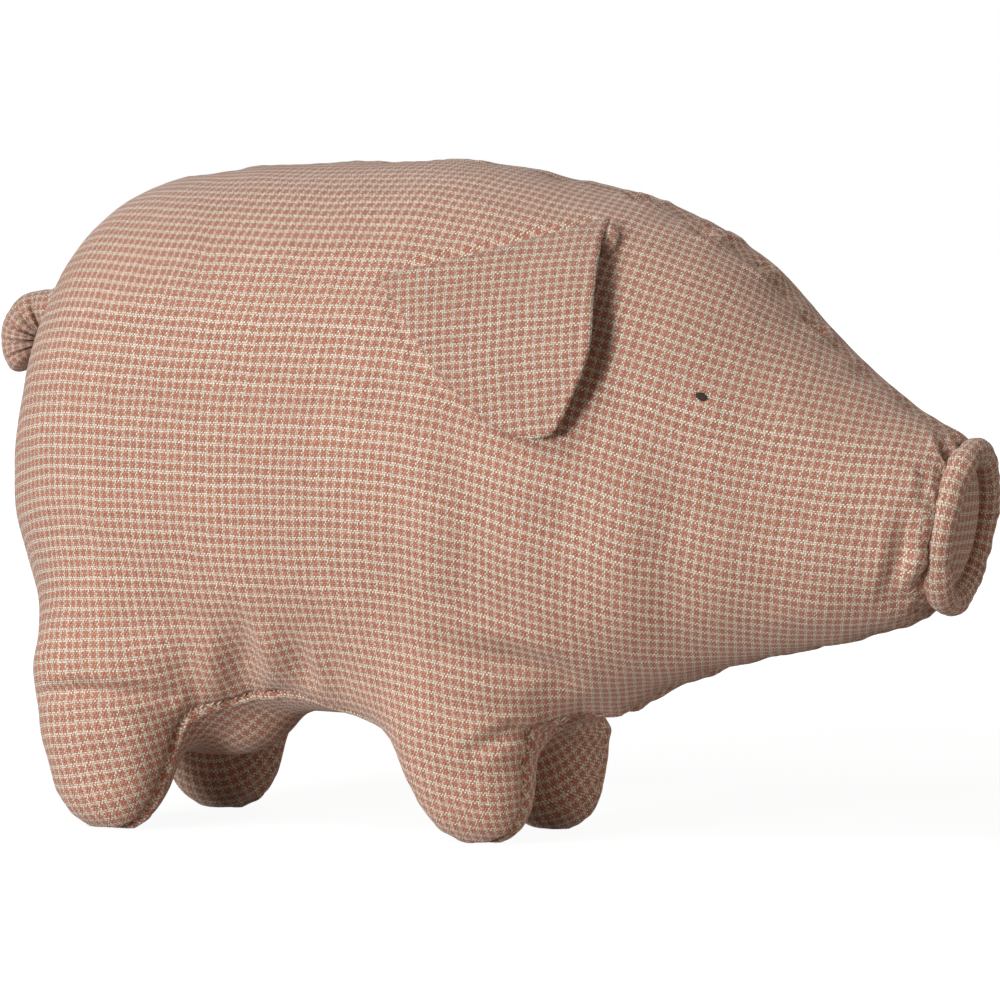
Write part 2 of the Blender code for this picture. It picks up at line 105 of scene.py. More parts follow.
# %% [markdown]
# ## The camera
#
# The photograph was taken from the pig's right side, a little from the front
# and just above the middle. A long lens from 2.5 m keeps the perspective as
# weak as it looks there. The camera comes first, because a few folds are later
# placed by the pixel at which the photograph shows them.

# %% Camera
view_azimuth = math.radians(26)
view_elevation = math.radians(3.4)
view_roll = math.radians(0.15)
view_distance = 2.5
view_target = Vector((0, 0, 0.104))
picture_side = 1000  # pixels
target_pixel = (488.4, 491.5)
pixels_per_metre = 3300  # at the target
sensor = 0.036

to_camera = towards(view_azimuth, view_elevation)
camera_data = bpy.data.cameras.new("camera")
camera_data.sensor_width = sensor * 1000
camera_data.lens = sensor * 1000 * view_distance * pixels_per_metre / picture_side
camera_data.shift_x = (picture_side / 2 - target_pixel[0]) / picture_side
camera_data.shift_y = (target_pixel[1] - picture_side / 2) / picture_side
camera_data.clip_end = 20
camera = bpy.data.objects.new("camera", camera_data)
scene.collection.objects.link(camera)
camera.location = view_target + to_camera * view_distance
looking = (-to_camera).to_track_quat("-Z", "Y").to_matrix()
camera.rotation_euler = (looking @ Matrix.Rotation(view_roll, 3, "Z")).to_euler()
scene.camera = camera
bpy.context.view_layer.update()


def ray_through(pixel):
    """Direction from the camera through a pixel of the photograph."""
    across = (pixel[0] - target_pixel[0]) / pixels_per_metre / view_distance
    up = (target_pixel[1] - pixel[1]) / pixels_per_metre / view_distance
    return (camera.matrix_world.to_3x3() @ Vector((across, up, -1))).normalized()


print("lens", round(camera_data.lens, 1), "mm")

# %% [markdown]
# ## The body's form
#
# The stuffed body is one rounded section that swells and tapers along its
# length, and leans with the snout towards the front. Its rows are shares of the
# body's length, depth and width, joined by a smooth curve, so a few numbers
# give the whole form. Everything that is sewn to the body reads this form.

# %% Sizes of the body
body_length = 308 * mm
body_depth = 170 * mm
body_width = 118 * mm
belly_clearance = 34.8 * mm
section_roundness = 0.9
snout_tilt = math.radians(10)
# Along the body, top and bottom of its depth, half width, lean with the snout.
body_shares = np.array(
    [
        (0.000, 0.450, 0.450, 0.000, 0.0),
        (0.007, 0.560, 0.258, 0.335, 0.0),
        (0.030, 0.700, 0.142, 0.610, 0.0),
        (0.073, 0.859, 0.082, 0.825, 0.0),
        (0.140, 0.946, 0.029, 0.955, 0.0),
        (0.248, 0.982, 0.006, 1.000, 0.0),
        (0.368, 0.994, 0.000, 1.000, 0.0),
        (0.492, 0.995, 0.000, 0.983, 0.0),
        (0.596, 0.963, 0.010, 0.958, 0.0),
        (0.687, 0.922, 0.060, 0.898, 0.0),
        (0.769, 0.842, 0.110, 0.780, 0.2),
        (0.844, 0.703, 0.141, 0.644, 0.5),
        (0.915, 0.598, 0.166, 0.525, 0.8),
        (0.974, 0.537, 0.202, 0.432, 1.0),
        (0.993, 0.516, 0.232, 0.373, 1.0),
        (1.000, 0.506, 0.246, 0.322, 1.0),
    ]
)
last_row = len(body_shares) - 1
body_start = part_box("right_side_panel")[0].x
print("rump at x =", round(body_start / mm, 1), "mm")


# %% The body's surface
def smooth_rows(rows, t):
    """Catmull-Rom curve through the rows, for an array of places t."""
    rows = np.vstack([rows, 2 * rows[-1] - rows[-2]])
    t = np.clip(np.asarray(t, float), 0, len(rows) - 3)
    i = np.minimum(t.astype(int), len(rows) - 4)
    f = (t - i)[..., None]
    a, b, c, d = (rows[i + k] for k in range(4))
    return 0.5 * (
        2 * b + (c - a) * f + (2 * a - 5 * b + 4 * c - d) * f**2 + (3 * b - a - 3 * c + d) * f**3
    )


def body_rows(t):
    """Distance from the rump, middle height, half height, half width and lean."""
    pole, first = body_shares[:2]
    mirrored = (first[0], 2 * pole[1] - first[1], 2 * pole[2] - first[2], -first[3], 0.0)
    along, top, bottom, half, lean = smooth_rows(np.vstack([mirrored, body_shares]), t).T
    return (
        along.T * body_length,
        belly_clearance + body_depth * (top.T + bottom.T) / 2,
        body_depth * (top.T - bottom.T) / 2,
        half.T * body_width / 2,
        lean.T * math.tan(snout_tilt),
    )


def rounded(value, power):
    return np.sign(value) * np.abs(value) ** power


def body_point(t, angle):
    """Points of the body: angle 0 is the pig's left side, 90 degrees its back."""
    t, angle = np.broadcast_arrays(np.asarray(t, float), np.asarray(angle, float))
    along, middle, half_height, half_width, lean = body_rows(t)
    rise = half_height * rounded(np.sin(angle), section_roundness)
    across = half_width * rounded(np.cos(angle), section_roundness)
    return np.stack([body_start + along + lean * rise, across, middle + rise], -1)


small_row = 0.02
small_angle = math.radians(0.5)


def body_normal(t, angle):
    t = np.clip(t, small_row, last_row - small_row)
    along = body_point(t + small_row, angle) - body_point(t - small_row, angle)
    round_it = body_point(t, angle + small_angle) - body_point(t, angle - small_angle)
    return unit(np.cross(round_it, along))


table_steps = 1501
row_table = np.linspace(0, last_row, table_steps)
x_table = body_start + body_rows(row_table)[0]


def place_on_body(points):
    """Row and angle of each point on the body's right or left half, and how far outside it lies."""
    t = np.interp(points[:, 0], x_table, row_table)
    for _ in range(3):
        _, middle, _, _, lean = body_rows(t)
        t = np.interp(points[:, 0] - lean * (points[:, 2] - middle), x_table, row_table)
    _, middle, half_height, half_width, _ = body_rows(t)
    up = (points[:, 2] - middle) / np.maximum(half_height, mm)
    out = np.abs(points[:, 1]) / np.maximum(half_width, mm)
    sine = rounded(up, 1 / section_roundness)
    cosine = rounded(out, 1 / section_roundness)
    scale = np.hypot(sine, cosine) ** section_roundness
    reach = np.hypot(points[:, 1], points[:, 2] - middle)
    return t, np.arctan2(sine, cosine), reach * (1 - 1 / np.maximum(scale, 1e-6))


# %% [markdown]
# ## The legs' form
#
# A leg is a stub with a round foot that widens upwards into the body. It is
# described by its radius at a few heights. Its outer half is cut in one with
# the side of the body, and its inner half with the belly gusset.

# %% Sizes and surface of the legs
leg_rise = 92 * mm
leg_thickest = 26 * mm
leg_depth_share = 0.88  # across the pig, against along it
leg_roundness = 0.82  # of its section, where 1 is an oval
leg_shares = np.array(  # height, then radius along the pig
    [
        (-0.020, 0.000),
        (-0.017, 0.120),
        (-0.005, 0.250),
        (0.012, 0.365),
        (0.035, 0.480),
        (0.092, 0.630),
        (0.175, 0.720),
        (0.315, 0.850),
        (0.446, 0.960),
        (0.706, 1.000),
        (1.000, 0.850),
    ]
)
# Foot's x and y, then how far the top leans forwards and inwards.
legs = {
    "rear": (body_start + 43.3 * mm, 37 * mm, 0 * mm, 8 * mm),
    "front": (body_start + 163.5 * mm, 24 * mm, -17 * mm, -3.5 * mm),
}


def leg_rings(leg, side, steps=40, around=48):
    """Rings of points up one leg, from the sole's middle."""
    x, y, forward, inwards = legs[leg]
    first = np.array([leg_shares[1] * (1, -1)])
    rows = smooth_rows(np.vstack([first, leg_shares]), np.linspace(0, len(leg_shares) - 1, steps))
    turn = full_turn(around)
    out, ahead = rounded(np.cos(turn), leg_roundness), rounded(np.sin(turn), leg_roundness)
    share, radius = rows[:, :1], np.maximum(rows[:, 1:], 0) * leg_thickest
    across = y - inwards * share + radius * leg_depth_share * out
    return np.stack(
        [x + forward * share + radius * ahead, across * side, leg_rise * share + 0 * turn], -1
    )


def place_on_leg(points, leg):
    """How far outside the leg each point lies, and its distance out from the leg's seam."""
    x, y, forward, inwards = legs[leg]
    share = np.clip(points[:, 2] / leg_rise, leg_shares[0, 0], 1)
    radius = np.interp(share, leg_shares[:, 0], leg_shares[:, 1]) * leg_thickest
    out = np.abs(points[:, 1]) - (y - inwards * share)
    reach = np.hypot(points[:, 0] - x - forward * share, out / leg_depth_share)
    return reach - radius + np.maximum(points[:, 2] - leg_rise, 0), out


# %% [markdown]
# ## One skin round body and legs
#
# The cloth runs from the body into the legs without a step. The body, the four
# legs and six small webs between them are put into one mesh, and a voxel remesh
# makes a single closed skin of them. The crease that is left between leg and
# body is rounded by smoothing, mostly where both forms are near.

# %% Join the forms
skin_voxel = 3.6 * mm
rump_steps, body_steps, body_sides = 12, 150, 128
end_share = 0.05  # a form ends in a small ring, not in a point


def new_object(name, points, faces):
    mesh = bpy.data.meshes.new(name)
    mesh.from_pydata([tuple(p) for p in np.asarray(points, float)], [], faces)
    made = bpy.data.objects.new(name, mesh)
    scene.collection.objects.link(made)
    return made


def ring_faces(rows, columns, start=0, wrap=True):
    """Quads between rings of points that are listed one ring after the other."""
    faces = []
    for i in range(rows - 1):
        for j in range(columns if wrap else columns - 1):
            k = (j + 1) % columns
            here, there = start + i * columns, start + (i + 1) * columns
            faces.append((here + j, here + k, there + k, there + j))
    return faces


def add_closed(points, faces, rings):
    """Adds a closed form made of rings, with a face over each end."""
    start = sum(len(p) for p in points)
    rows, columns = rings.shape[:2]
    points.append(rings.reshape(-1, 3))
    faces.extend(ring_faces(rows, columns, start))
    faces.append(tuple(range(start, start + columns))[::-1])
    faces.append(tuple(range(start + (rows - 1) * columns, start + rows * columns)))


def applied(piece):
    """The piece with its modifiers worked into its mesh."""
    graph = bpy.context.evaluated_depsgraph_get()
    graph.update()
    mesh = bpy.data.meshes.new_from_object(
        piece.evaluated_get(graph), preserve_all_data_layers=True, depsgraph=graph
    )
    piece.modifiers.clear()
    old = piece.data
    piece.data = mesh
    bpy.data.meshes.remove(old)
    mesh.name = piece.name
    return piece


def points_of(mesh):
    return listed(mesh.vertices, "co", 3)


def normals_of(mesh):
    return listed(mesh.vertices, "normal", 3)


def move_points(mesh, points):
    mesh.vertices.foreach_set("co", np.ascontiguousarray(points, np.float32).ravel())
    mesh.update()


def face_outwards(mesh):
    """Turns the faces outwards and shades them smoothly."""
    build = bmesh.new()
    build.from_mesh(mesh)
    bmesh.ops.recalc_face_normals(build, faces=build.faces)
    for face in build.faces:
        face.smooth = True
    build.to_mesh(mesh)
    build.free()


# Between the legs the cloth hangs lower, and each leg widens towards the belly. In mm: the middle,
# with x from the rump, then half length, half width and half height.
webs = (
    (60, 0, 34, 28, 22, 14.5),
    (185, 0, 46, 28, 22, 9.2),
    (130, -24, 46, 24, 16, 12),
    (130, 24, 46, 24, 16, 12),
    (57, -32, 44, 19, 14, 14),
    (57, 32, 44, 19, 14, 14),
)
web_pole = 0.02  # radians, its ends are small rings


def web_rings(web, steps=18, around=32):
    """Rings of an egg-shaped form that fills the angle between two legs."""
    x, y, z, half_length, half_width, half_height = np.array(web) * mm
    turn = full_turn(around)
    rise = np.linspace(web_pole, math.pi - web_pole, steps)[:, None]
    out = np.sin(rise)
    return np.stack(
        [
            body_start + x - half_length * np.cos(rise) + 0 * turn,
            y + half_width * out * np.cos(turn),
            z + half_height * out * np.sin(turn),
        ],
        -1,
    )


form_points, form_faces = [], []
body_t = np.concatenate(
    [np.linspace(end_share, 1, rump_steps, endpoint=False), np.linspace(1, last_row, body_steps)]
)
add_closed(form_points, form_faces, body_point(body_t[:, None], full_turn(body_sides)[None]))
for leg_name in legs:
    for side in (1, -1):
        rings = leg_rings(leg_name, side)
        rings[0] += (rings[1] - rings[0]) * end_share
        add_closed(form_points, form_faces, rings[:, ::side])
for web in webs:
    add_closed(form_points, form_faces, web_rings(web))
skin = new_object("skin", np.vstack(form_points), form_faces)
face_outwards(skin.data)
remesh = skin.modifiers.new("one skin", "REMESH")
remesh.mode = "VOXEL"
remesh.voxel_size = skin_voxel
applied(skin)
print("skin:", len(skin.data.vertices), "points")


# %% Round the crease between leg and body
def relaxed(points, pairs, weight, rounds):
    """Laplacian smoothing: each point moves towards the mean of its neighbours."""
    count = np.bincount(pairs.ravel(), minlength=len(points))[:, None]
    for _ in range(rounds):
        total = np.zeros_like(points)
        for axis in range(3):
            total[:, axis] = np.bincount(pairs[:, 0], points[pairs[:, 1], axis], len(points))
            total[:, axis] += np.bincount(pairs[:, 1], points[pairs[:, 0], axis], len(points))
        points = points + weight[:, None] * (total / count - points)
    return points


def smooth_step(low, high, value):
    f = np.clip((value - low) / (high - low), 0, 1)
    return f * f * (3 - 2 * f)


def nearest_leg(points):
    """Distance outside the nearest leg and out from that leg's seam."""
    found = [place_on_leg(points, leg) for leg in legs]
    first_is_near = found[0][0] < found[1][0]
    return tuple(np.where(first_is_near, a, b) for a, b in zip(*found))


crease_reach = 21 * mm
crease_core = 0.35  # share of the reach that is smoothed in full
crease_top = (80 * mm, 95 * mm)  # the smoothing ends between these heights
crease_rounds, even_rounds = 75, 3
relax_step = 0.5
points = points_of(skin.data)
pairs = listed(skin.data.edges, "vertices", 2, int)
_, _, off_body = place_on_body(points)
off_leg, _ = nearest_leg(points)
off_both = np.maximum(np.abs(off_body), np.abs(off_leg))
near_both = 1 - smooth_step(crease_core * crease_reach, crease_reach, off_both)
low_enough = 1 - smooth_step(*crease_top, points[:, 2])
points = relaxed(points, pairs, relax_step * near_both * low_enough, crease_rounds)
points = relaxed(points, pairs, np.full(len(points), relax_step), even_rounds)
move_points(skin.data, points)
print("skin box", (points.min(0) / mm).round(1), (points.max(0) / mm).round(1))

# %% [markdown]
# ## Where the seams run
#
# Three flat pieces of cloth make the skin: a right and a left side, each with
# the outer halves of its legs, and a gusset under the belly with the inner
# halves. The sides meet in the pig's mid-plane. The gusset's edge is the line
# where a field is zero: on the body it is the distance from the gusset's angle,
# on a leg the distance out from the leg's seam, and it turns smoothly from one
# into the other. The mesh is cut along both lines, so a seam is a clean row of
# edges.

# %% The seam field
gusset_half_angle = math.radians(25)
gusset_ends = (0.22 * last_row, 0.57 * last_row)
gusset_fullness = 0.6
seam_blend = 16 * mm
leg_seam_out = 2.5 * mm  # from the leg's middle
beyond_ends = 0.2 * mm  # keeps the field off zero where there is no gusset


def gusset_field(points):
    """Positive on the sides' cloth, negative on the gusset and the inner leg halves."""
    t, angle, off_body = place_on_body(points)
    start, end = gusset_ends
    arch = np.sin(math.pi * np.clip((t - start) / (end - start), 0, 1))
    seam_angle = -math.pi / 2 + gusset_half_angle * arch**gusset_fullness
    _, _, _, half_width, _ = body_rows(t)
    on_body = (angle - seam_angle) * half_width + beyond_ends * (arch <= 0)
    off_leg, on_leg = nearest_leg(points)
    share = smooth_step(-seam_blend, seam_blend, off_body - off_leg)
    return on_body * (1 - share) + (on_leg - leg_seam_out) * share


# %% Cut the skin along its seams
RIGHT, LEFT, GUSSET, SNOUT_END = range(4)
snap_share = 0.25
snout_facing = 0.75  # a face that points this much forwards can be the snout's end
snout_slab = 6 * mm  # the end's faces lie in front of this depth
snout_x = Vector((math.cos(snout_tilt), 0, -math.sin(snout_tilt)))


def cut_where_zero(build, field):
    """Moves points that are near the zero line onto it, and cuts the faces that it crosses."""
    build.verts.ensure_lookup_table()
    value = dict(zip(build.verts, field(np.array([v.co for v in build.verts]))))
    for edge in build.edges:
        a, b = sorted(edge.verts, key=lambda v: abs(value[v]))
        if value[a] * value[b] < 0 and abs(value[a]) < snap_share * abs(value[b] - value[a]):
            a.co = a.co.lerp(b.co, value[a] / (value[a] - value[b]))
            value[a] = 0.0
    for edge in list(build.edges):
        a, b = edge.verts
        if value[a] * value[b] < 0:
            _, middle = bmesh.utils.edge_split(edge, a, value[a] / (value[a] - value[b]))
            value[middle] = 0.0
    for face in list(build.faces):
        on_line = [v for v in face.verts if value[v] == 0.0]
        signs = {value[v] > 0 for v in face.verts if value[v] != 0.0}
        if len(on_line) == 2 and len(signs) == 2:
            bmesh.utils.face_split(face, *on_line)
    return value


build = bmesh.new()
build.from_mesh(skin.data)
mid_plane = cut_where_zero(build, lambda p: p[:, 1].copy())
for vertex, side in mid_plane.items():
    if side == 0.0:
        vertex.co.y = 0.0
gusset = cut_where_zero(build, gusset_field)
snout_end_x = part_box("snout_disc")[0].x
for face in build.faces:
    middle = face.calc_center_median()
    if face.normal.dot(snout_x) > snout_facing and middle.x > snout_end_x - snout_slab:
        face.material_index = SNOUT_END
    elif sum(gusset[v] for v in face.verts) < 0 and middle.z < body_depth / 2:
        face.material_index = GUSSET
    else:
        face.material_index = LEFT if middle.y > 0 else RIGHT
bmesh.ops.triangulate(build, faces=[f for f in build.faces if len(f.verts) > 4])
seam_count = 0
for edge in build.edges:
    edge.seam = len({f.material_index for f in edge.link_faces}) > 1
    seam_count += edge.seam
build.to_mesh(skin.data)
build.free()
print("seam edges:", seam_count, "points:", len(skin.data.vertices))

# %% [markdown]
# ## The flat pattern
#
# A weave stays straight in the flat cloth and bends only where the cloth does.
# So each piece is laid flat by unwrapping the skin at its seams with as little
# stretch as possible, then turned and scaled until one unit of the map is one
# metre of cloth, with the warp along the pig.

# %% Lay the pieces flat
unwrap_rounds = 20
for number in range(4):
    skin.data.materials.append(bpy.data.materials.new(f"piece_{number}"))
bpy.context.view_layer.objects.active = skin
skin.select_set(True)
skin.data.uv_layers.new(name="cloth")
bpy.ops.object.mode_set(mode="EDIT")
bpy.ops.mesh.select_all(action="SELECT")
bpy.ops.uv.unwrap(
    method="MINIMUM_STRETCH", fill_holes=False, margin=0, iterations=unwrap_rounds
)
bpy.ops.object.mode_set(mode="OBJECT")


def loops_of(mesh):
    """Per corner of the mesh: its point, its face's piece, and its place on the map."""
    corner = listed(mesh.loops, "vertex_index", kind=int)
    piece = listed(mesh.polygons, "material_index", kind=int)
    total = listed(mesh.polygons, "loop_total", kind=int)
    return corner, np.repeat(piece, total), listed(mesh.uv_layers["cloth"].data, "uv", 2)


def straightened(spot, here, weight):
    """The map turned and scaled so that its axes follow the given directions on the pig."""
    centre_a, centre_b = (np.average(a, axis=0, weights=weight) for a in (spot, here))
    a, b = spot - centre_a, here - centre_b
    left, size, right = np.linalg.svd((a * weight[:, None]).T @ b)
    scale = size.sum() / (weight * (a**2).sum(1)).sum()
    return a @ (left @ right) * scale + centre_b


flank_above, flank_behind = 90 * mm, 60 * mm  # the middle of a side
belly_below, belly_half = 60 * mm, 15 * mm  # the middle of the gusset
corner, piece, spot = loops_of(skin.data)
points = points_of(skin.data)
for number, across in ((RIGHT, 2), (LEFT, 2), (GUSSET, 1)):
    chosen = piece == number
    here = points[corner[chosen]]
    if across == 2:
        middle = (here[:, 2] > flank_above) & (here[:, 0] < flank_behind)
    else:
        middle = (here[:, 2] < belly_below) & (np.abs(here[:, 1]) < belly_half)
    spot[chosen] = straightened(spot[chosen], here[:, [0, across]], middle * 1.0)
    print("piece", number, "takes", (np.ptp(spot[chosen], 0) / mm).round(), "mm of cloth")

# %% [markdown]
# ## Pulled grain
#
# Stuffing and sewing pull the grain of the real sides out of line: the rows of
# the check fall away towards the snout, the columns lean forwards higher up,
# and the cloth is squeezed along the pig. Two small tables of slopes, along the
# pig and up it, bend the map in the same way.

# %% Bend the map of the sides
fall_along = (  # mm along the pig, degrees
    (-160, -12),
    (-127, 0),
    (-105, 7),
    (-46, -0.5),
    (-26, -1.5),
    (-6, 2.5),
    (15, 10.5),
    (75, 10),
    (105, 0),
    (150, -4),
)
lean_up = ((0, -3), (55, -4), (72, -1), (90, 2), (120, 5), (150, 7), (230, 5))
rear_lean = 4.5  # degrees more towards the rump
rear_lean_from, rear_lean_to, rear_lean_height = -60 * mm, -130 * mm, 100 * mm
squeeze_along = 0.98


def slope_table(table, values, steps=200):
    """Running sum of the slopes in a table of (mm, degrees)."""
    at, slope = np.array(table, float).T
    fine = np.linspace(at[0], at[-1], steps)
    rise = np.tan(np.radians(np.interp(fine, at, slope)))
    total = np.concatenate([[0], np.cumsum((rise[1:] + rise[:-1]) / 2 * np.diff(fine))]) * mm
    return np.interp(values / mm, fine, total)


for number in (RIGHT, LEFT):
    chosen = piece == number
    u, v = spot[chosen].T
    rear = math.tan(math.radians(rear_lean)) * smooth_step(rear_lean_from, rear_lean_to, u)
    spot[chosen, 0] = u * squeeze_along - slope_table(lean_up, v) - rear * (v - rear_lean_height)
    spot[chosen, 1] = v + slope_table(fall_along, u)
skin.data.uv_layers["cloth"].data.foreach_set("uv", spot.ravel())

# %% [markdown]
# ## Fine surface
#
# Two rounds of subdivision bring the skin to about 1 mm between points, fine
# enough for a seam that sinks in by a millimetre. The map is carried along.

# %% Subdivide the skin
finer_rounds = 2
coarse_points, coarse_normals = points_of(skin.data), normals_of(skin.data)
coarse_faces = [tuple(face.vertices) for face in skin.data.polygons]
finer = skin.modifiers.new("finer", "SUBSURF")
finer.levels = finer.render_levels = finer_rounds
finer.boundary_smooth = "ALL"
applied(skin)
points = points_of(skin.data)
print("fine skin:", len(points), "points")

# %% [markdown]
# ## Seam valleys and puckers
#
# The sewing thread is shorter than the cloth that it holds, so a seam sinks in
# and the cloth beside it gathers into small puckers. Each point looks up the
# nearest point of a seam. The depth falls off with the distance, and a noise
# that is read at the seam, not at the point, makes puckers that run across it.

# %% Distance to the seams
def seam_points_of(mesh, wanted):
    """Points on the edges between two pieces, for the pairs that are wanted."""
    pieces_at = {}
    for face in mesh.polygons:
        for key in face.edge_keys:
            pieces_at.setdefault(key, set()).add(face.material_index)
    found = {v for key, pieces in pieces_at.items() if len(pieces) > 1 and wanted(pieces) for v in key}
    return sorted(found)


def nearest_in(indices, points):
    """For every point, the nearest of the chosen points and its distance."""
    tree = tree_of(points[indices])
    found = [tree.find(point) for point in points]
    return np.array([k for _, k, _ in found]), np.array([distance for _, _, distance in found])


def noise_at(points, size, seed=0.0):
    """Smooth noise from -1 to 1 with features of this size."""
    shift = Vector((seed, 1.7 * seed, -0.6 * seed))
    return np.array([noise.noise(Vector(p) / size + shift) for p in points])


pull_wander, pull_wander_size = 0.6, 14 * mm  # of a seam's strength along it
large_puckers, large_pucker_size = 0.5, 2.3  # against the small ones
pucker_top = 0.25  # a pucker sinks in more than it rises


def sewn(points, normals, indices, sewing):
    """Points moved in along a seam, with puckers beside it, and their distance from the seam."""
    *sizes, seed = sewing
    depth, width, pucker_depth, pucker_width, pucker_size = np.array(sizes) * mm
    nearest, distance = nearest_in(indices, points)
    along = points[indices]
    strength = (1 + pull_wander * noise_at(along, pull_wander_size, seed))[nearest]
    large = noise_at(along, large_pucker_size * pucker_size, seed + 9)
    gather = (noise_at(along, pucker_size, seed + 5) + large_puckers * large)[nearest]
    gather = pucker_depth * np.exp(-((distance / pucker_width) ** 2)) * np.minimum(gather, pucker_top)
    valley = depth * np.exp(-((distance / width) ** 2)) * strength
    return points + normals * (gather * strength - valley)[:, None], distance


# %% [markdown]
# ## Folds and dimples
#
# The photograph shows where the stuffed cloth folds. Each fold is a line of
# pixels there: a ray through each pixel finds its place on the skin, and the
# skin sinks along that line and swells a little beside it. The far side gets
# the same folds mirrored.

# %% Folds
# Depth and half width in mm, then the pixels that the fold runs through.
folds = {
    "rear leg crease": (2.7, 2.4, ((38, 696), (59, 692), (85, 691), (124, 694), (150, 694), (176, 699))),
    "over rear leg": (2.1, 6.5, ((34, 700), (85, 697), (130, 699), (184, 707))),
    "flank hollow": (2.2, 5.0, ((238, 622), (243, 655), (240, 685))),
    "flank ridge": (-1.2, 4.0, ((203, 640), (215, 664), (226, 692))),
    "flank ridge two": (-1.2, 4.0, ((254, 614), (268, 655), (276, 681))),
    "belly hollow": (1.4, 3.6, ((295, 640), (307, 680))),
    "belly ridge": (-0.8, 3.6, ((311, 642), (328, 686))),
    "thigh hollow": (1.3, 4.0, ((170, 660), (192, 690))),
    "rump dent": (0.4, 4.0, ((34, 594), (62, 602), (92, 612))),
    "cheek": (2.2, 3.0, ((908, 515), (901, 555), (889, 603))),
    "cheek ridge": (-1.4, 3.2, ((921, 520), (914, 555), (904, 603))),
    "ring pinch": (2.8, 2.0, ((941, 434), (950, 460))),
    "ring pinch low": (1.2, 1.8, ((925, 470), (921, 500))),
    "under ring": (1.2, 2.4, ((936, 570), (912, 586), (896, 612))),
    "under eye": (1.1, 8.0, ((676, 470), (668, 560), (664, 640))),
    "beside eye": (-0.6, 8.0, ((640, 470), (632, 560), (630, 640))),
    "over front leg": (2.3, 5.0, ((452, 650), (499, 661), (544, 672), (560, 684))),
    "front leg crease": (2.3, 2.6, ((474, 750), (512, 731), (540, 735), (562, 728), (580, 717))),
    "behind ear": (1.1, 7.0, ((452, 430), (468, 510), (474, 600))),
    "behind ear ridge": (-0.6, 7.0, ((418, 420), (430, 510), (436, 600))),
    "neck": (0.9, 7.0, ((575, 440), (560, 520), (566, 610))),
    "above ear": (1.5, 1.6, ((392, 269), (430, 261), (475, 250), (524, 237), (570, 227), (594, 220))),
    "behind ear edge": (1.0, 1.5, ((380, 285), (397, 320), (415, 360), (446, 399), (488, 433), (518, 446))),
    "dimple one": (2.8, 2.8, ((699, 230), (708, 235))),
    "dimple two": (2.6, 2.8, ((750, 260), (758, 266))),
    "dimple three": (2.6, 2.8, ((811, 322), (819, 330))),
    "dimple four": (2.2, 2.6, ((634, 196), (644, 202))),
}
fold_reach = 3.5  # of the half width
fold_fade = (0.12, 0.76)  # start and span on half a wave, so that a fold fades at its ends
swell, swell_off, swell_narrow = 0.30, 1.9, 1.6  # of the cloth beside a fold
lump_depth = 0.55 * mm
lump_size = 24 * mm
small_lumps = 0.45  # in depth and in size


def traced(pixels, step=3.0):
    """Points on the skin under a line of pixels, with their share along the line."""
    found = []
    lengths = [math.dist(a, b) for a, b in zip(pixels, pixels[1:])]
    whole, passed = sum(lengths), 0.0
    for (a, b), length in zip(zip(pixels, pixels[1:]), lengths):
        for k in range(max(int(length / step), 1)):
            f = k * step / length
            pixel = (a[0] + (b[0] - a[0]) * f, a[1] + (b[1] - a[1]) * f)
            hit = form_tree.ray_cast(camera.location, ray_through(pixel))[0]
            if hit:
                found.append((hit, (passed + length * f) / whole))
        passed += length
    return found


def pressed(points, normals, found, depth, width):
    """Moves the skin in along one traced line, and out a little beside it."""
    tree = tree_of([place for place, _ in found])
    centre = sum((place for place, _ in found), Vector()) / len(found)
    reach = max((place - centre).length for place, _ in found) + fold_reach * width
    near = np.flatnonzero(np.linalg.norm(points - np.array(centre), axis=1) < reach)
    for index in near:
        _, k, distance = tree.find(points[index])
        off = distance / width
        if off < fold_reach:
            fade = math.sin(math.pi * (fold_fade[0] + fold_fade[1] * found[k][1]))
            beside = swell * math.exp(-((off - swell_off) ** 2) * swell_narrow)
            points[index] -= normals[index] * depth * fade * (math.exp(-(off**2)) - beside)


def surface_tree(points, mesh):
    """A tree that finds where a ray meets the mesh, with its points at these places."""
    return BVHTree.FromPolygons([Vector(p) for p in points], [tuple(f.vertices) for f in mesh.polygons])


form_tree = surface_tree(points, skin.data)
normals = normals_of(skin.data)
for name, (depth, width, pixels) in folds.items():
    found = traced(pixels)
    if len(found) < 2:
        print("fold off the skin:", name)
        continue
    for side in (1, -1):
        there = [(Vector((place.x, place.y * side, place.z)), share) for place, share in found]
        pressed(points, normals, there, depth * mm, width * mm)
lumps = noise_at(points, lump_size, 21.0) + small_lumps * noise_at(points, small_lumps * lump_size, 4.0)
points = points + normals * (lump_depth * lumps)[:, None]
points[:, 2] = np.maximum(points[:, 2], 0)  # the feet stand flat on the floor
move_points(skin.data, points)
print("folds:", len(folds))

# %% Sew the seams
# Of each seam in mm: depth and width, then the puckers' depth, width and size; last a noise seed.
back_sewing = (1.1, 2.6, 1.9, 8, 6.5, 3.0)
gusset_sewing = (1.2, 1.5, 1.0, 5, 5, 11.0)
snout_sewing = (0.5, 2.5, 1.5, 9, 5.5, 17.0)
gusset_rim = 0.85 * mm  # the gusset's edge lies rolled beside the seam
rim_off_seam, rim_width = 2.6 * mm, 1.5 * mm
rim_flatter = (62 * mm, 80 * mm)  # from the rump, between these places it gets lower
rim_front_share = 0.3
back_seam = seam_points_of(skin.data, lambda pieces: pieces == {RIGHT, LEFT})
gusset_seam = seam_points_of(skin.data, lambda pieces: GUSSET in pieces)
snout_seam = seam_points_of(skin.data, lambda pieces: SNOUT_END in pieces)
normals = normals_of(skin.data)
points, _ = sewn(points, normals, back_seam, back_sewing)
points[:, 2] = np.maximum(points[:, 2], 0)
points, off_gusset_seam = sewn(points, normals, gusset_seam, gusset_sewing)
corner, piece, _ = loops_of(skin.data)
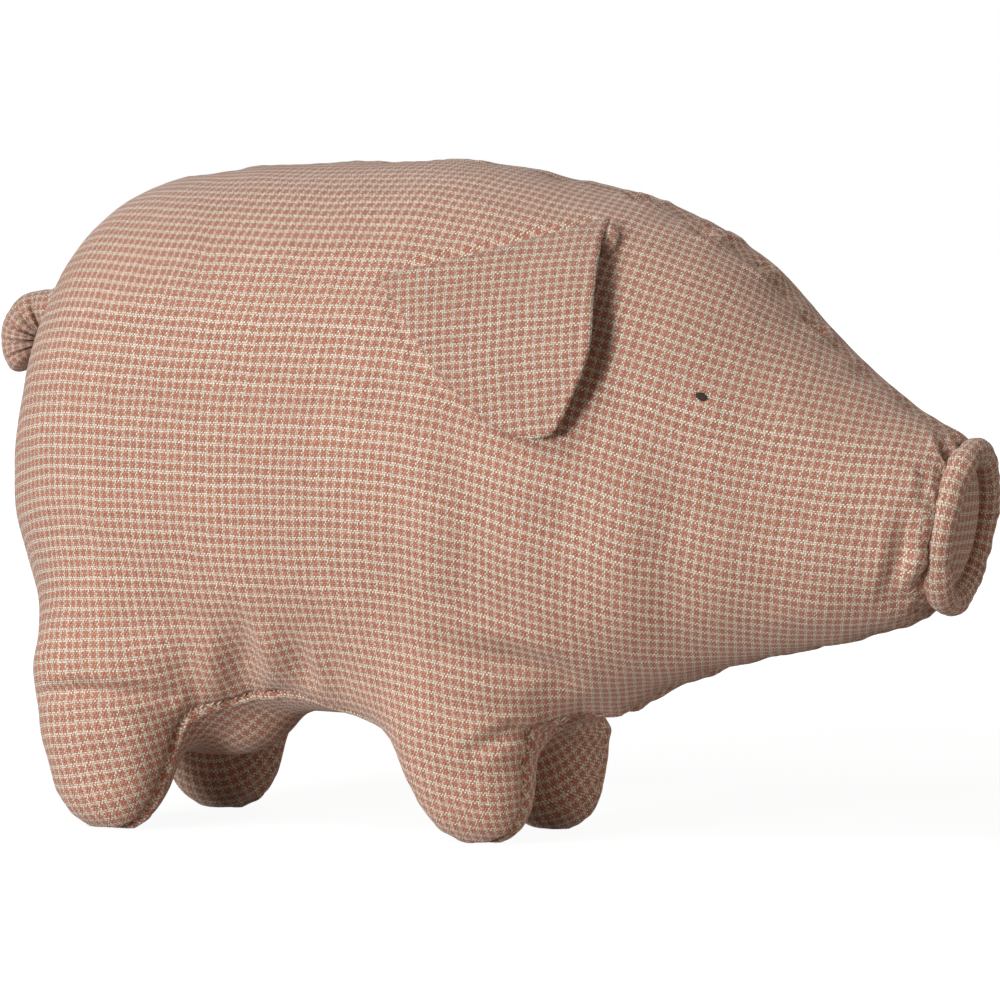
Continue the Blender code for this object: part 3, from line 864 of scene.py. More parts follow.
on_gusset = np.zeros(len(points))
on_gusset[corner[piece == GUSSET]] = 1
rim_height = gusset_rim * on_gusset * np.exp(-(((off_gusset_seam - rim_off_seam) / rim_width) ** 2))
rim_height = rim_height * np.interp(points[:, 0] - body_start, rim_flatter, (1, rim_front_share))
points = points + normals * rim_height[:, None]
points, _ = sewn(points, normals, snout_seam, snout_sewing)
points[:, 2] = np.maximum(points[:, 2], 0)
move_points(skin.data, points)
print("seam points:", len(back_seam), len(gusset_seam), len(snout_seam))

# %% [markdown]
# ## Shader maths as Python
#
# A node tree is easier to read as a formula. This small class wraps a socket,
# so that adding or multiplying two sockets adds the Math node that does it.


# %% A socket that can be calculated with
class Value:
    """A number that varies over the surface: an output socket in a node tree."""

    def __init__(self, tree, socket):
        self.tree = tree
        self.socket = socket

    def node(self, kind, settings=None, output=0, **sockets):
        """A node of this kind; sockets are named by input, with _ for a space, or by number."""
        made = self.tree.nodes.new(kind)
        for key, setting in (settings or {}).items():
            setattr(made, key, setting)
        for key, value in sockets.items():
            place = int(key[1:]) if key[0] == "_" else key.replace("_", " ")
            if isinstance(value, Value):
                self.tree.links.new(value.socket, made.inputs[place])
            else:
                made.inputs[place].default_value = value
        return Value(self.tree, made.outputs[output])

    def math(self, operation, *values):
        inputs = {f"_{k}": value for k, value in enumerate(values)}
        return self.node("ShaderNodeMath", {"operation": operation}, **inputs)

    def __add__(self, other):
        return self.math("ADD", self, other)

    def __sub__(self, other):
        return self.math("SUBTRACT", self, other)

    def __rsub__(self, other):
        return self.math("SUBTRACT", other, self)

    def __mul__(self, other):
        return self.math("MULTIPLY", self, other)

    __radd__ = __add__
    __rmul__ = __mul__

    def floor(self):
        return self.math("FLOOR", self)

    def fraction(self):
        return self.math("FRACT", self)

    def modulo(self, step):
        return self.math("FLOORED_MODULO", self, step)

    def over(self, limit):
        return self.math("GREATER_THAN", self, limit)

    def bump(self):
        """Half a wave between two whole numbers: 0 at both and 1 in the middle."""
        return self.math("SINE", self.fraction() * math.pi)

    def mix(self, first, second):
        """Colour from first to second as this value goes from 0 to 1."""
        ends = [end if isinstance(end, Value) else (*end, 1) for end in (first, second)]
        return self.node("ShaderNodeMix", {"data_type": "RGBA"}, 2, _0=self, _6=ends[0], _7=ends[1])

    def shaded(self, amount):
        """This colour times a number."""
        return self.node("ShaderNodeVectorMath", {"operation": "SCALE"}, 0, _0=self, _3=amount)


sheen_roughness = 0.38
specular_level = 0.25


def new_material(name, roughness, sheen=0.0, colour=None):
    """A material, its shader, and a value to start formulas from."""
    made = bpy.data.materials.new(name)
    made.use_nodes = True
    shader = made.node_tree.nodes["Principled BSDF"]
    shader.inputs["Roughness"].default_value = roughness
    shader.inputs["Sheen Weight"].default_value = sheen
    shader.inputs["Sheen Roughness"].default_value = sheen_roughness
    shader.inputs["Specular IOR Level"].default_value = specular_level
    if colour:
        shader.inputs["Base Color"].default_value = (*colour, 1)
    return made, shader, Value(made.node_tree, None)


def feed(value, shader, place):
    shader.id_data.links.new(value.socket, shader.inputs[place])


# %% [markdown]
# ## The woven check
#
# The cloth is a plain weave: every thread goes over one and under the next. In
# both directions three fine salmon threads are followed by two thicker cream
# ones. Where two salmon stripes cross there is a salmon square. Between the
# squares run pairs of cream threads, which a crossing salmon thread is too thin
# to hide. Drawing single threads, and not a printed check, gives the broken
# edges of the real squares.

# %% The check
check_along = 2.45 * mm  # repeat along the pig
check_across = 2.92 * mm
salmon_share = 0.60  # of the repeat
salmon_threads, cream_threads = 3, 2
threads_in_check = salmon_threads + cream_threads
salmon = (0.70, 0.330, 0.230)
salmon_deep = (0.41, 0.160, 0.108)
cream = (0.94, 0.84, 0.70)
cream_deep = (0.60, 0.48, 0.36)
strokes_along, strokes_across = 3, 2  # slanted strokes of the yarn's twist in a repeat
stroke_depth = 0.60  # on salmon; stroke_on_cream is the share that is left on cream
stroke_on_cream = 0.6
stroke_mean = 0.64  # of half a wave, so that the strokes don't darken the cloth
# How the grain wanders: noise scale, detail, and how far it moves a thread.
wanders = ((90.0, 2.0, 1.1 * mm), (520.0, 1.0, 0.35 * mm))
cover_height = 0.35  # a thread that stands higher hides the one below
thread_own_shade = 0.4  # the rest of its shade drifts along the thread
drift_scale, drift_range = 1300.0, (0.28, 0.68)
crossing_height = 0.45  # of a thread where the next one crosses
# Painted shade and light of the weave's relief: the level in a gap, and more on top of a thread.
gap_light, thread_light = 0.42, 0.80  # in a gap, and more on top of a thread
patch_scale, patch_light = 22.0, 0.14
row_light = 0.06
weave_bump, weave_height = 0.55, 0.3 * mm
cloth_roughness, cloth_sheen = 0.93, 0.3


def woven_check(name, light=1.0):
    made, shader, start = new_material(name, cloth_roughness, cloth_sheen)
    spot = start.node("ShaderNodeUVMap", {"uv_map": "cloth"})

    def noisy(output, vector, scale, detail):
        flat = {"noise_dimensions": "2D"}
        return start.node("ShaderNodeTexNoise", flat, output, Vector=vector, Scale=scale, Detail=detail)

    moved = spot
    for scale, detail, reach in wanders:
        by, added = noisy("Color", spot, scale, detail), {"operation": "MULTIPLY_ADD"}
        moved = start.node("ShaderNodeVectorMath", added, _0=by, _1=(reach, reach, 0), _2=moved)
    apart = start.node("ShaderNodeSeparateXYZ", {}, 0, Vector=moved)
    up_map = Value(apart.tree, apart.socket.node.outputs[1])
    # Salmon threads are finer than cream ones, so a place is turned into a count of threads.
    counts, repeats = [], []
    for place, size in ((apart, check_along), (up_map, check_across)):
        repeat = place * (1 / size)
        repeats.append(repeat)
        within = repeat.fraction()
        fine = within.math("MINIMUM", within * (salmon_threads / salmon_share), float(salmon_threads))
        thick = within.math("MAXIMUM", within - salmon_share, 0.0) * (cream_threads / (1 - salmon_share))
        counts.append((repeat.floor() * threads_in_check + fine + thick, within.over(salmon_share)))
    (u, cream_warp), (v, cream_weft) = counts
    warp_up = (u.floor() + v.floor()).modulo(2.0).over(0.5)
    weft_up = 1 - warp_up
    cream_over = warp_up * cream_warp + weft_up * cream_weft
    cream_under = warp_up * cream_weft + weft_up * cream_warp
    uncovered = 1 - (warp_up * u.bump() + weft_up * v.bump()).over(cover_height)
    is_cream = cream_over + (1 - cream_over) * cream_under * uncovered
    # Each thread has its own shade, which also drifts along the thread.
    warp_shade, weft_shade = (
        start.node("ShaderNodeTexWhiteNoise", {"noise_dimensions": "1D"}, "Value", W=thread)
        for thread in (u.floor(), v.floor() + 57.3)
    )
    drift = noisy("Fac", moved, drift_scale, 2.0)
    drift = start.node("ShaderNodeMapRange", Value=drift, From_Min=drift_range[0], From_Max=drift_range[1])
    own = warp_up * warp_shade + weft_up * weft_shade
    shade = own * thread_own_shade + drift * (1 - thread_own_shade)
    colour = is_cream.mix(shade.mix(salmon_deep, salmon), shade.mix(cream_deep, cream))
    # The thread's own roundness, and the gaps where it dives under the next; this height also paints shade
    # into the colour.
    warp_round = u.bump() * (crossing_height + (1 - crossing_height) * v.bump())
    weft_round = v.bump() * (crossing_height + (1 - crossing_height) * u.bump())
    height = warp_up * warp_round + weft_up * weft_round
    patchy = 1 - patch_light / 2 + patch_light * noisy("Fac", spot, patch_scale, 3.0)
    rows_brighter = 1 + row_light * (1 - 2 * warp_up) * is_cream
    twist = (strokes_along * repeats[0] - strokes_across * repeats[1]).bump()
    depth = stroke_depth * (1 - (1 - stroke_on_cream) * is_cream)
    twisted = 1 + (twist - stroke_mean) * depth
    # Painted shade in the gaps and painted light on the threads' tops, times random patches, row tones and
    # the twist's strokes.
    lit = (gap_light + thread_light * height) * patchy * rows_brighter * twisted * light
    feed(colour.shaded(lit), shader, "Base Color")
    bump = start.node("ShaderNodeBump", Strength=weave_bump, Distance=weave_height, Height=height)
    feed(bump, shader, "Normal")
    return made


check_cloth = woven_check("check_cloth")
# Painted shade: the tail and the outer ears get a darker copy of the same check.
small_piece_painted_shade = 0.9  # the ears and the tail are a little darker
painted_shade_check_cloth = woven_check("painted_shade_check_cloth", light=small_piece_painted_shade)
print("check", round(check_along / mm, 2), "by", round(check_across / mm, 2), "mm")

# %% [markdown]
# ## Three cloth pieces
#
# The closed skin is now taken apart at its seams into the three pieces that
# the toy is sewn from, and each gets the thickness of the cloth on its inside.

# %% Take the skin apart
cloth = 0.9 * mm
stuffing_inset = 6 * mm  # more than the deepest fold


def piece_of_skin(name, numbers):
    """A copy of the skin's faces of these pieces, without the points that they don't use."""
    made = bpy.data.objects.new(name, skin.data.copy())
    scene.collection.objects.link(made)
    build = bmesh.new()
    build.from_mesh(made.data)
    bmesh.ops.delete(build, geom=[f for f in build.faces if f.material_index not in numbers], context="FACES")
    for face in build.faces:
        face.material_index = 0
        face.smooth = True
    build.to_mesh(made.data)
    build.free()
    made.data.name = name
    made.data.materials.clear()
    return made


def leg_nodes(kind, *hands):
    """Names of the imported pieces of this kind, on the legs of these sides."""
    return [f"{hand}_{end}_leg_{kind}" for end in legs for hand in hands]


def attach(piece, body, nodes, material):
    """Paints a piece, puts it on a body and hides the imported parts that it stands for."""
    piece.data.materials.append(material)
    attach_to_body(piece, body)
    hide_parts(*nodes)


skin_pieces = {  # numbers on the skin, slot, and what it stands for
    "right_side_cloth": (
        {RIGHT, SNOUT_END}, "check_cloth", ["right_side_panel", *leg_nodes("outer_cover", "right")]
    ),
    "left_side_cloth": ({LEFT}, "check_cloth", ["left_side_panel", *leg_nodes("outer_cover", "left")]),
    "belly_gusset_cloth": (
        {GUSSET}, "gusset_cloth", ["belly_panel", *leg_nodes("inner_cover", "left", "right")]
    ),
}
for name, (numbers, slot, nodes) in skin_pieces.items():
    skin_cloth = piece_of_skin(name, numbers)
    solid = skin_cloth.modifiers.new("cloth", "SOLIDIFY")
    solid.thickness = cloth
    solid.offset = -1
    attach(applied(skin_cloth), "pig", nodes, check_cloth)
    print(name, len(skin_cloth.data.polygons), "faces")
fillings = ["torso_filling", "head_filling", *leg_nodes("filling", "left", "right")]
stuffing = new_object("stuffing", coarse_points - stuffing_inset * coarse_normals, coarse_faces)
fibre, _, _ = new_material("stuffing", 0.95, colour=(0.45, 0.36, 0.30))
attach(stuffing, "pig", fillings, fibre)

# %% [markdown]
# ## Small pieces: how they are built
#
# Ring, disc, ears and tail are surfaces of rows and columns. Each point of the
# grid has a place in space and a place on the flat cloth, so the same check
# runs over them. Ears, hems and eyes rest on the sewn skin, which a ray from
# outside finds.

# %% Surfaces with a map
skin_tree = surface_tree(points, skin.data)
reach_out = 25 * mm


def on_skin(t, angle, lift=0.0):
    """Point on the skin over a place of the body's form, and the form's normal there."""
    form, normal = Vector(body_point(t, angle)), Vector(body_normal(t, angle))
    hit = skin_tree.ray_cast(form + normal * reach_out, -normal)[0]
    return (hit or form) + normal * lift, normal


def closed_mesh(name, points, faces, spots):
    """A mesh with its map; its faces are turned outwards."""
    made = new_object(name, points, faces)
    layer = made.data.uv_layers.new(name="cloth")
    layer.data.foreach_set("uv", np.asarray(spots, float).ravel())
    face_outwards(made.data)
    return made


def tube_mesh(name, grid, spot, closed=False):
    """Rings of points joined to a tube; a closed one is a ring, an open one has a face at each end."""
    rows, columns = grid.shape[:2]
    faces, spots = [], []
    for i in range(rows if closed else rows - 1):
        for j in range(columns):
            square = ((i, j), (i, j + 1), (i + 1, j + 1), (i + 1, j))
            faces.append([(a % rows) * columns + b % columns for a, b in square])
            spots.extend(spot[a, b] for a, b in square)
    if not closed:
        for i in (0, rows - 1):
            faces.append([i * columns + j for j in range(columns)])
            spots.extend(spot[i, j] for j in range(columns))
    return closed_mesh(name, grid.reshape(-1, 3), faces, spots)


def sheet_mesh(name, top, under, spot):
    """Two grids joined round their rim."""
    rows, columns = top.shape[:2]
    faces, spots = [], []

    def add(*corners):
        faces.append([side * rows * columns + i * columns + j for side, i, j in corners])
        spots.extend(spot[i, j] for _, i, j in corners)

    for i in range(rows - 1):
        for j in range(columns - 1):
            for side in (0, 1):
                add((side, i, j), (side, i, j + 1), (side, i + 1, j + 1), (side, i + 1, j))
        for j in (0, columns - 1):
            add((0, i, j), (0, i + 1, j), (1, i + 1, j), (1, i, j))
    for i in (0, rows - 1):
        for j in range(columns - 1):
            add((0, i, j), (0, i, j + 1), (1, i, j + 1), (1, i, j))
    return closed_mesh(name, np.concatenate([top, under]).reshape(-1, 3), faces, spots)


def mirrored(grid, side):
    return grid * np.array((1, side, 1))


def wave(values, size, seed=0.0):
    """Smooth noise from -1 to 1 along a line."""
    return np.array([noise.noise(Vector((v / size, seed, 0.37 * seed))) for v in values])


def flat_map(length, rows, width, columns):
    """The flat cloth under a grid: this length down its rows and this width across its columns."""
    down, across = np.linspace(0, length, rows)[:, None], np.linspace(0, width, columns)[None]
    return np.stack(np.broadcast_arrays(down, across), -1)


print("skin tree ready")

# %% [markdown]
# ## Snout
#
# A strip of cloth is rolled to a soft tube and sewn round the snout's end, and
# a padded oval disc fills the inside of the ring. The roll is gathered, so its
# thickness wanders and fine creases run across it.

# %% Ring and disc
snout_height = 53.8 * mm
snout_width = 39.5 * mm
snout_roll = 8.4 * mm
snout_back, snout_down = 3.5 * mm, 0.7 * mm  # from the end of the body's form
disc_swell = 6.2 * mm
disc_edge_share = 0.35  # of the swell, already reached at the disc's edge
disc_roundness = 0.8
disc_under_ring = 0.6 * mm
ring_steps, ring_sides = 150, 28
disc_steps, disc_sides = 16, 72
roll_wander, roll_wander_size = 0.2, 9 * mm
crease_depth, crease_size, crease_low = 0.8 * mm, 2.4 * mm, -0.2
snout_z = Vector((math.sin(snout_tilt), 0, math.cos(snout_tilt)))
snout_centre = np.array((body_start + body_length, 0, body_rows(last_row)[1] - snout_down))
snout_centre = snout_centre - snout_back * np.array(snout_x)
snout_axes = (snout_x, (0, 1, 0), snout_z)


def placed(centre, axes, *distances):
    """Points at these distances along the axes from a centre."""
    place = np.array(centre)
    for axis, distance in zip(axes, distances):
        place = place + np.asarray(distance)[..., None] * np.array(axis)
    return place


def ring_noise(size, seed):
    """Noise with features of this size, one value for each step round the ring."""
    return np.array([noise.noise(Vector((a / size, b / size, seed))) for a, b in there])[:, None]


turn, roll = full_turn(ring_steps)[:, None], full_turn(ring_sides)[None]
ring_middle_radius = (snout_height + snout_width) / 4 - snout_roll / 2
there = np.concatenate([ring_middle_radius * np.cos(turn), ring_middle_radius * np.sin(turn)], 1)
thick, crease = ring_noise(roll_wander_size, 2.0), ring_noise(crease_size, 7.0)
radius = snout_roll / 2 * (1 + roll_wander * thick)
radius = radius - crease_depth * np.maximum(crease, crease_low) * (1 - 0.5 * np.cos(roll))
out = radius * np.cos(roll)
ring_grid = placed(
    snout_centre,
    snout_axes,
    snout_roll / 2 + radius * np.sin(roll),
    (snout_width / 2 - snout_roll / 2 + out) * np.cos(turn),
    (snout_height / 2 - snout_roll / 2 + out) * np.sin(turn),
)
ring_length, roll_girth = 2 * math.pi * ring_middle_radius, math.pi * snout_roll
spot = flat_map(ring_length, ring_steps + 1, roll_girth, ring_sides + 1)[..., ::-1]
snout_ring = tube_mesh("snout_ring_cloth", ring_grid, spot, closed=True)

disc_rise = np.linspace(0, 0.49 * math.pi, disc_steps)  # almost to the middle of the disc
disc_profile = [(0.0, 1.0)] + [
    (disc_swell * (disc_edge_share + (1 - disc_edge_share) * math.sin(a)), math.cos(a) ** disc_roundness)
    for a in disc_rise
]
disc_turn = full_turn(disc_sides)
disc_forward, disc_share = np.array(disc_profile).T[..., None]
disc_across = (snout_width / 2 - snout_roll + disc_under_ring) * disc_share * np.cos(disc_turn)
disc_up = (snout_height / 2 - snout_roll + disc_under_ring) * disc_share * np.sin(disc_turn)
disc_grid = placed(snout_centre, snout_axes, disc_forward, disc_across, disc_up)
disc_spot = np.stack([disc_across, disc_up], -1)
disc_spot = np.concatenate([disc_spot, disc_spot[:, :1]], 1)
snout_disc = tube_mesh("snout_disc_cloth", disc_grid, disc_spot)
print("ring", len(snout_ring.data.polygons), "disc", len(snout_disc.data.polygons), "faces")

# %% [markdown]
# ## Whip stitches
#
# The gusset is closed by hand: short slanted stitches over the seam. One
# stitch is a small rounded bar, and a Geometry Nodes tree sets a copy of it on
# each place along the seam, turned to its own direction.

# %% Stitch maker
stitch_spacing = 2.1 * mm
stitch_length = 2.4 * mm
stitch_radius = 0.32 * mm
stitch_slant = math.radians(48)
stitch_lift = 0.30 * mm
stitch_lowest = 3 * mm  # none under the feet
stitch_sides = 6


def stitch_tree(name):
    """Geometry Nodes: a bar on every point, turned by the attribute named facing."""
    tree = bpy.data.node_groups.new(name, "GeometryNodeTree")
    kinds = {"Geometry": "Geometry", "Length": "Float", "Radius": "Float", "Material": "Material"}
    for label, kind in kinds.items():
        tree.interface.new_socket(label, in_out="INPUT", socket_type="NodeSocket" + kind)
    tree.interface.new_socket("Geometry", in_out="OUTPUT", socket_type="NodeSocketGeometry")
    start = Value(tree, None)
    given = start.node("NodeGroupInput").socket.node.outputs
    length, radius = Value(tree, given["Length"]), Value(tree, given["Radius"])
    points, paint = Value(tree, given["Geometry"]), Value(tree, given["Material"])
    ball = start.node("GeometryNodeMeshUVSphere", Segments=stitch_sides, Rings=stitch_sides, Radius=1.0)
    size = start.node("ShaderNodeCombineXYZ", X=length * 0.5, Y=radius, Z=radius)
    bar = start.node("GeometryNodeTransform", Geometry=ball, Scale=size)
    named = {"data_type": "FLOAT_VECTOR"}
    facing = start.node("GeometryNodeInputNamedAttribute", named, "Attribute", Name="facing")
    copies = start.node("GeometryNodeInstanceOnPoints", Points=points, Instance=bar, Rotation=facing)
    real = start.node("GeometryNodeRealizeInstances", Geometry=copies)
    painted = start.node("GeometryNodeSetMaterial", Geometry=real, Material=paint)
    feed(painted, tree.nodes.new("NodeGroupOutput"), "Geometry")
    return tree


def stitched(name, places, turns, material):
    """A mesh of stitches at these places; the tree is worked into plain faces."""
    made = new_object(name, places, [])
    facing = made.data.attributes.new("facing", "FLOAT_VECTOR", "POINT")
    facing.data.foreach_set("vector", np.asarray(turns, float).ravel())
    nodes = made.modifiers.new("stitches", "NODES")
    nodes.node_group = stitch_tree(name + "_tree")
    given = {"Length": stitch_length, "Radius": stitch_radius, "Material": material}
    for item in nodes.node_group.interface.items_tree:
        if item.in_out == "INPUT" and item.name in given:
            nodes[item.identifier] = given[item.name]
    return applied(made)


def along_seam(indices, spacing):
    """Places spaced out along a seam, with the seam's direction and the skin's normal there."""
    tree = tree_of(points[indices])
    left = set(range(len(indices)))
    found = []
    for k, index in enumerate(indices):
        if k not in left:
            continue
        near = tree.find_range(points[index], spacing)
        left.difference_update(j for _, j, _ in near)
        wide = np.array([tuple(p) for p, _, _ in tree.find_range(points[index], 2 * spacing)])
        direction = np.linalg.svd(wide - wide.mean(0))[2][0] if len(wide) > 2 else np.array((1.0, 0, 0))
        found.append((points[index], direction * (1 if direction[0] > 0 else -1), skin_normals[index]))
    return found


skin_normals = normals_of(skin.data)
stitch_paint, _, _ = new_material("seam_thread", 0.8, colour=(0.72, 0.58, 0.45))
places, turns = [], []
for place, direction, normal in along_seam(gusset_seam, stitch_spacing):
    if place[2] < stitch_lowest:
        continue
    upright = Vector(normal)
    slant = Matrix.Rotation(stitch_slant, 3, upright) @ Vector(direction)
    slant = (slant - upright * slant.dot(upright)).normalized()
    places.append(Vector(place) + upright * stitch_lift)
    turns.append(tuple(Matrix((slant, upright.cross(slant), upright)).transposed().to_euler()))
seam_stitches = stitched("gusset_stitches", places, turns, stitch_paint)
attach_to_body(seam_stitches, "pig")
print("stitches:", len(places))

# %% [markdown]
# ## Ears
#
# An ear is two layers of cloth, sewn round the edge and turned, and held along
# its upper edge by a hem. It hangs on the head: close to it at the rear, and
# standing off at the front, where it throws its shadow.

# %% Ear surface
ear_rows = (6.74, 8.82)
ear_angles = (math.radians(33), math.radians(61.3))
ear_sag = math.radians(3.2)  # of the hem line between its ends
ear_length = 51.5 * mm
ear_slant = 26 * mm
ear_layer = 1.1 * mm
ear_hem = 1.3 * mm
ear_lift_rear = 1.0 * mm
ear_lift_front = 12.5 * mm
ear_wander = 0.5 * mm
corner_rise, corner_power = 0.06, 8  # the front corner stands off a little, although it is held
ear_edge, ear_edge_round = 0.12 * mm, 1.8 * mm  # thickness at the edge, and how far in it grows
stitch_line, stitch_line_width, stitch_line_sink = 4 * mm, 1.2 * mm, 0.4
layer_gap = 0.04 * mm
ear_turn = math.radians(-0.5)
ear_stretch, ear_squeeze = 0.83, 1.11  # of the cloth along the ear and down it
ear_steps, ear_columns = 44, 40
fall_steps = 6
ear_shares = np.array(  # down the ear, then rear and front edge along the hem
    [
        (0.00, 0.00, 1.00),
        (0.12, 0.03, 0.96),
        (0.25, 0.05, 0.93),
        (0.50, 0.10, 0.86),
        (0.63, 0.15, 0.82),
        (0.75, 0.20, 0.755),
        (0.88, 0.28, 0.64),
        (0.96, 0.36, 0.555),
        (1.00, 0.45, 0.50),
    ]
)


def ear_base(along, down):
    """Row and angle of the body under a place on the ear, followed round it in short steps."""
    t = ear_rows[0] + (ear_rows[1] - ear_rows[0]) * along
    angle = ear_angles[0] + (ear_angles[1] - ear_angles[0]) * along
    angle -= ear_sag * math.sin(math.pi * min(max(along, 0), 1))
    for _ in range(fall_steps):
        here = body_point(t, angle)
        row_step = np.linalg.norm(body_point(t + small_row, angle) - here) / small_row
        angle_step = np.linalg.norm(body_point(t, angle - small_angle) - here) / small_angle
        t += ear_slant * down / fall_steps / row_step
        angle -= ear_length * down / fall_steps / angle_step
    return t, angle


outline = smooth_rows(
    np.vstack([2 * ear_shares[0] - ear_shares[1], ear_shares]), np.linspace(0, len(ear_shares) - 1, ear_steps)
)
ear_grid = np.empty((ear_steps, ear_columns, 3))
ear_out = np.empty_like(ear_grid)
for i, (down, rear, front) in enumerate(outline):
    for j in range(ear_columns):
        along = rear + (front - rear) * j / (ear_columns - 1)
        forward = max(along, 0)
        spread = max(math.sin(math.pi / 2 * min(down, 1.0)), corner_rise * forward**corner_power)
        lift = ear_hem + ear_layer + spread * (ear_lift_rear + (ear_lift_front - ear_lift_rear) * forward**2)
        lift += ear_wander * spread * noise.noise(Vector((along * 3, down * 3, 4)))
        place, normal = on_skin(*ear_base(along, down), lift)
        ear_grid[i, j] = place[0], abs(place[1]), place[2]
        ear_out[i, j] = normal[0], abs(normal[1]), normal[2]
rim_tree = tree_of(np.concatenate([ear_grid[1:, 0], ear_grid[-1], ear_grid[1:, -1]]))
off_rim = np.array([[rim_tree.find(place)[2] for place in row] for row in ear_grid])
edge_share = np.clip(off_rim / ear_edge_round, 0, 1)
sunk = stitch_line_sink * np.exp(-(((off_rim - stitch_line) / stitch_line_width) ** 2))
layer = (ear_edge + ear_layer * np.sqrt(1 - (1 - edge_share) ** 2) * (1 - sunk))[..., None]
# The check's directions on the ear are those of the picture, laid into the plane of the ear.
to_world = camera.matrix_world.to_3x3()
ear_side = unit(np.array(to_world @ Vector((math.cos(ear_turn), math.sin(ear_turn), 0))))
ear_up = np.array(to_world @ Vector((-math.sin(ear_turn), math.cos(ear_turn), 0)))
flat_out = unit((ear_out * (1, -1, 1)).mean((0, 1)))
ear_side = unit(ear_side - flat_out * (ear_side @ flat_out))
ear_up = unit(ear_up - flat_out * (ear_up @ flat_out) - ear_side * (ear_up @ ear_side))
seen_ear = mirrored(ear_grid, -1)
ear_spot = np.stack([seen_ear @ ear_side * ear_stretch, seen_ear @ ear_up * ear_squeeze], -1)
ears = {}
for hand, side in (("left", 1), ("right", -1)):
    middle, out = mirrored(ear_grid, side), mirrored(ear_out, side)
    far, near = out * (layer + layer_gap), out * layer_gap
    ears[hand] = (
        sheet_mesh(f"{hand}_ear_outer_cloth", middle + far, middle + near, ear_spot),
        sheet_mesh(f"{hand}_ear_lining_cloth", middle - near, middle - far, ear_spot),
    )

# %% [markdown]
# ## Ear hems
#
# Under the ear's upper edge lies its seam allowance, sewn flat on the head.

# %% Hems
hem_width = 7 * mm
hem_length = 70 * mm
hem_shares = (0.12, -0.38, -0.88)  # of its width, above the ear's upper edge
hem_start, hem_span = 0.04, 0.92  # along the ear's upper edge
hem_lifts = (ear_hem - 0.1 * mm, 0.15 * mm)  # of its top and its underside
hems = {}
for hand, side in (("left", 1), ("right", -1)):
    grids = np.empty((2, 3, ear_columns, 3))
    for j in range(ear_columns):
        t, angle = ear_base(hem_start + hem_span * j / (ear_columns - 1), 0.0)
        turned = body_point(t, angle + small_angle) - body_point(t, angle)
        step = hem_width / (np.linalg.norm(turned) / small_angle)
        for i, share in enumerate(hem_shares):
            for grid, lift in zip(grids, hem_lifts):
                place, _ = on_skin(t, angle + share * step, lift)
                grid[i, j] = place[0], abs(place[1]) * side, place[2]
    spot = flat_map(hem_width, len(hem_shares), hem_length, ear_columns)[..., ::-1]
    hems[hand] = sheet_mesh(f"{hand}_ear_hem_cloth", *grids, spot)

# %% [markdown]
# ## Rolled corner and loose threads
#
# At the ear's front corner the turned seam sticks out as a small soft roll. A
# few loose ends of thread lie on the cloth, where the photograph shows them.

# %% Roll and threads
roll_pixel = (607, 241)
roll_length = 10.5 * mm
roll_width = 7.4 * mm
roll_height = 5.6 * mm
roll_steps, roll_sides = 30, 28
roll_lift = 0.7 * mm
roll_pole = 0.03  # its ends are small rings
roll_bluntness = 0.7
roll_tuck, roll_tuck_width = 0.16, 0.16  # a crease that runs aslant round its middle
roll_map = (14.7 * mm, 18 * mm)  # its cloth's length and girth
thread_radius = 0.13 * mm


def seen_place(pixel, lift=0.0):
    """The skin's point under a pixel, and its normal."""
    hit, normal, _, _ = skin_tree.ray_cast(camera.location, ray_through(pixel))
    return hit + normal * lift, normal


roll_middle, roll_out = seen_place(roll_pixel, roll_lift)
roll_down = Vector(ear_grid[8, -1] - ear_grid[0, -1])
roll_down.y *= -1
roll_down = (roll_down - roll_out * roll_down.dot(roll_out)).normalized()
roll_across = roll_out.cross(roll_down)
roll_rise = np.linspace(-math.pi / 2 + roll_pole, math.pi / 2 - roll_pole, roll_steps)[:, None]
roll_turn = full_turn(roll_sides)[None]
off_tuck = (roll_rise - 0.1 - 0.4 * np.sin(roll_turn)) / roll_tuck_width
girth = np.cos(roll_rise) ** roll_bluntness * (1 - roll_tuck * np.exp(-(off_tuck**2)))
girth = girth * (1 + 0.07 * np.sin(3 * roll_turn + 4 * roll_rise))
roll_grid = placed(
    roll_middle,
    (roll_down, roll_across, roll_out),
    np.sin(roll_rise) * roll_length / 2,
    girth * np.cos(roll_turn) * roll_width / 2,
    girth * np.sin(roll_turn) * roll_height / 2,
)
roll_spot = flat_map(roll_map[0], roll_steps, roll_map[1], roll_sides + 1)
rolls = {}
for hand, side in (("left", -1), ("right", 1)):
    rolls[hand] = tube_mesh(f"{hand}_ear_roll", mirrored(roll_grid, side), roll_spot)


def thread_rings(pixels, lift, sides=6, steps=16):
    """A thin tube that follows a line of pixels over the skin."""
    knots = np.array([tuple(seen_place(pixel, high * mm)[0]) for pixel, high in zip(pixels, lift)])
    knots = np.vstack([2 * knots[0] - knots[1], knots])
    line = smooth_rows(knots, np.linspace(1, len(knots) - 1, steps))
    ahead = unit(np.gradient(line, axis=0))
    first = unit(np.cross(ahead, np.array(to_camera)))
    second = np.cross(ahead, first)
    turn = full_turn(sides)[None, :, None]
    return line[:, None] + thread_radius * (np.cos(turn) * first[:, None] + np.sin(turn) * second[:, None])


def thread_mesh(name, points, faces):
    """Threads, with what is seen of them from the side as their map."""
    corners = [v for face in faces for v in face]
    return closed_mesh(name, points, faces, points[corners][:, [0, 2]])


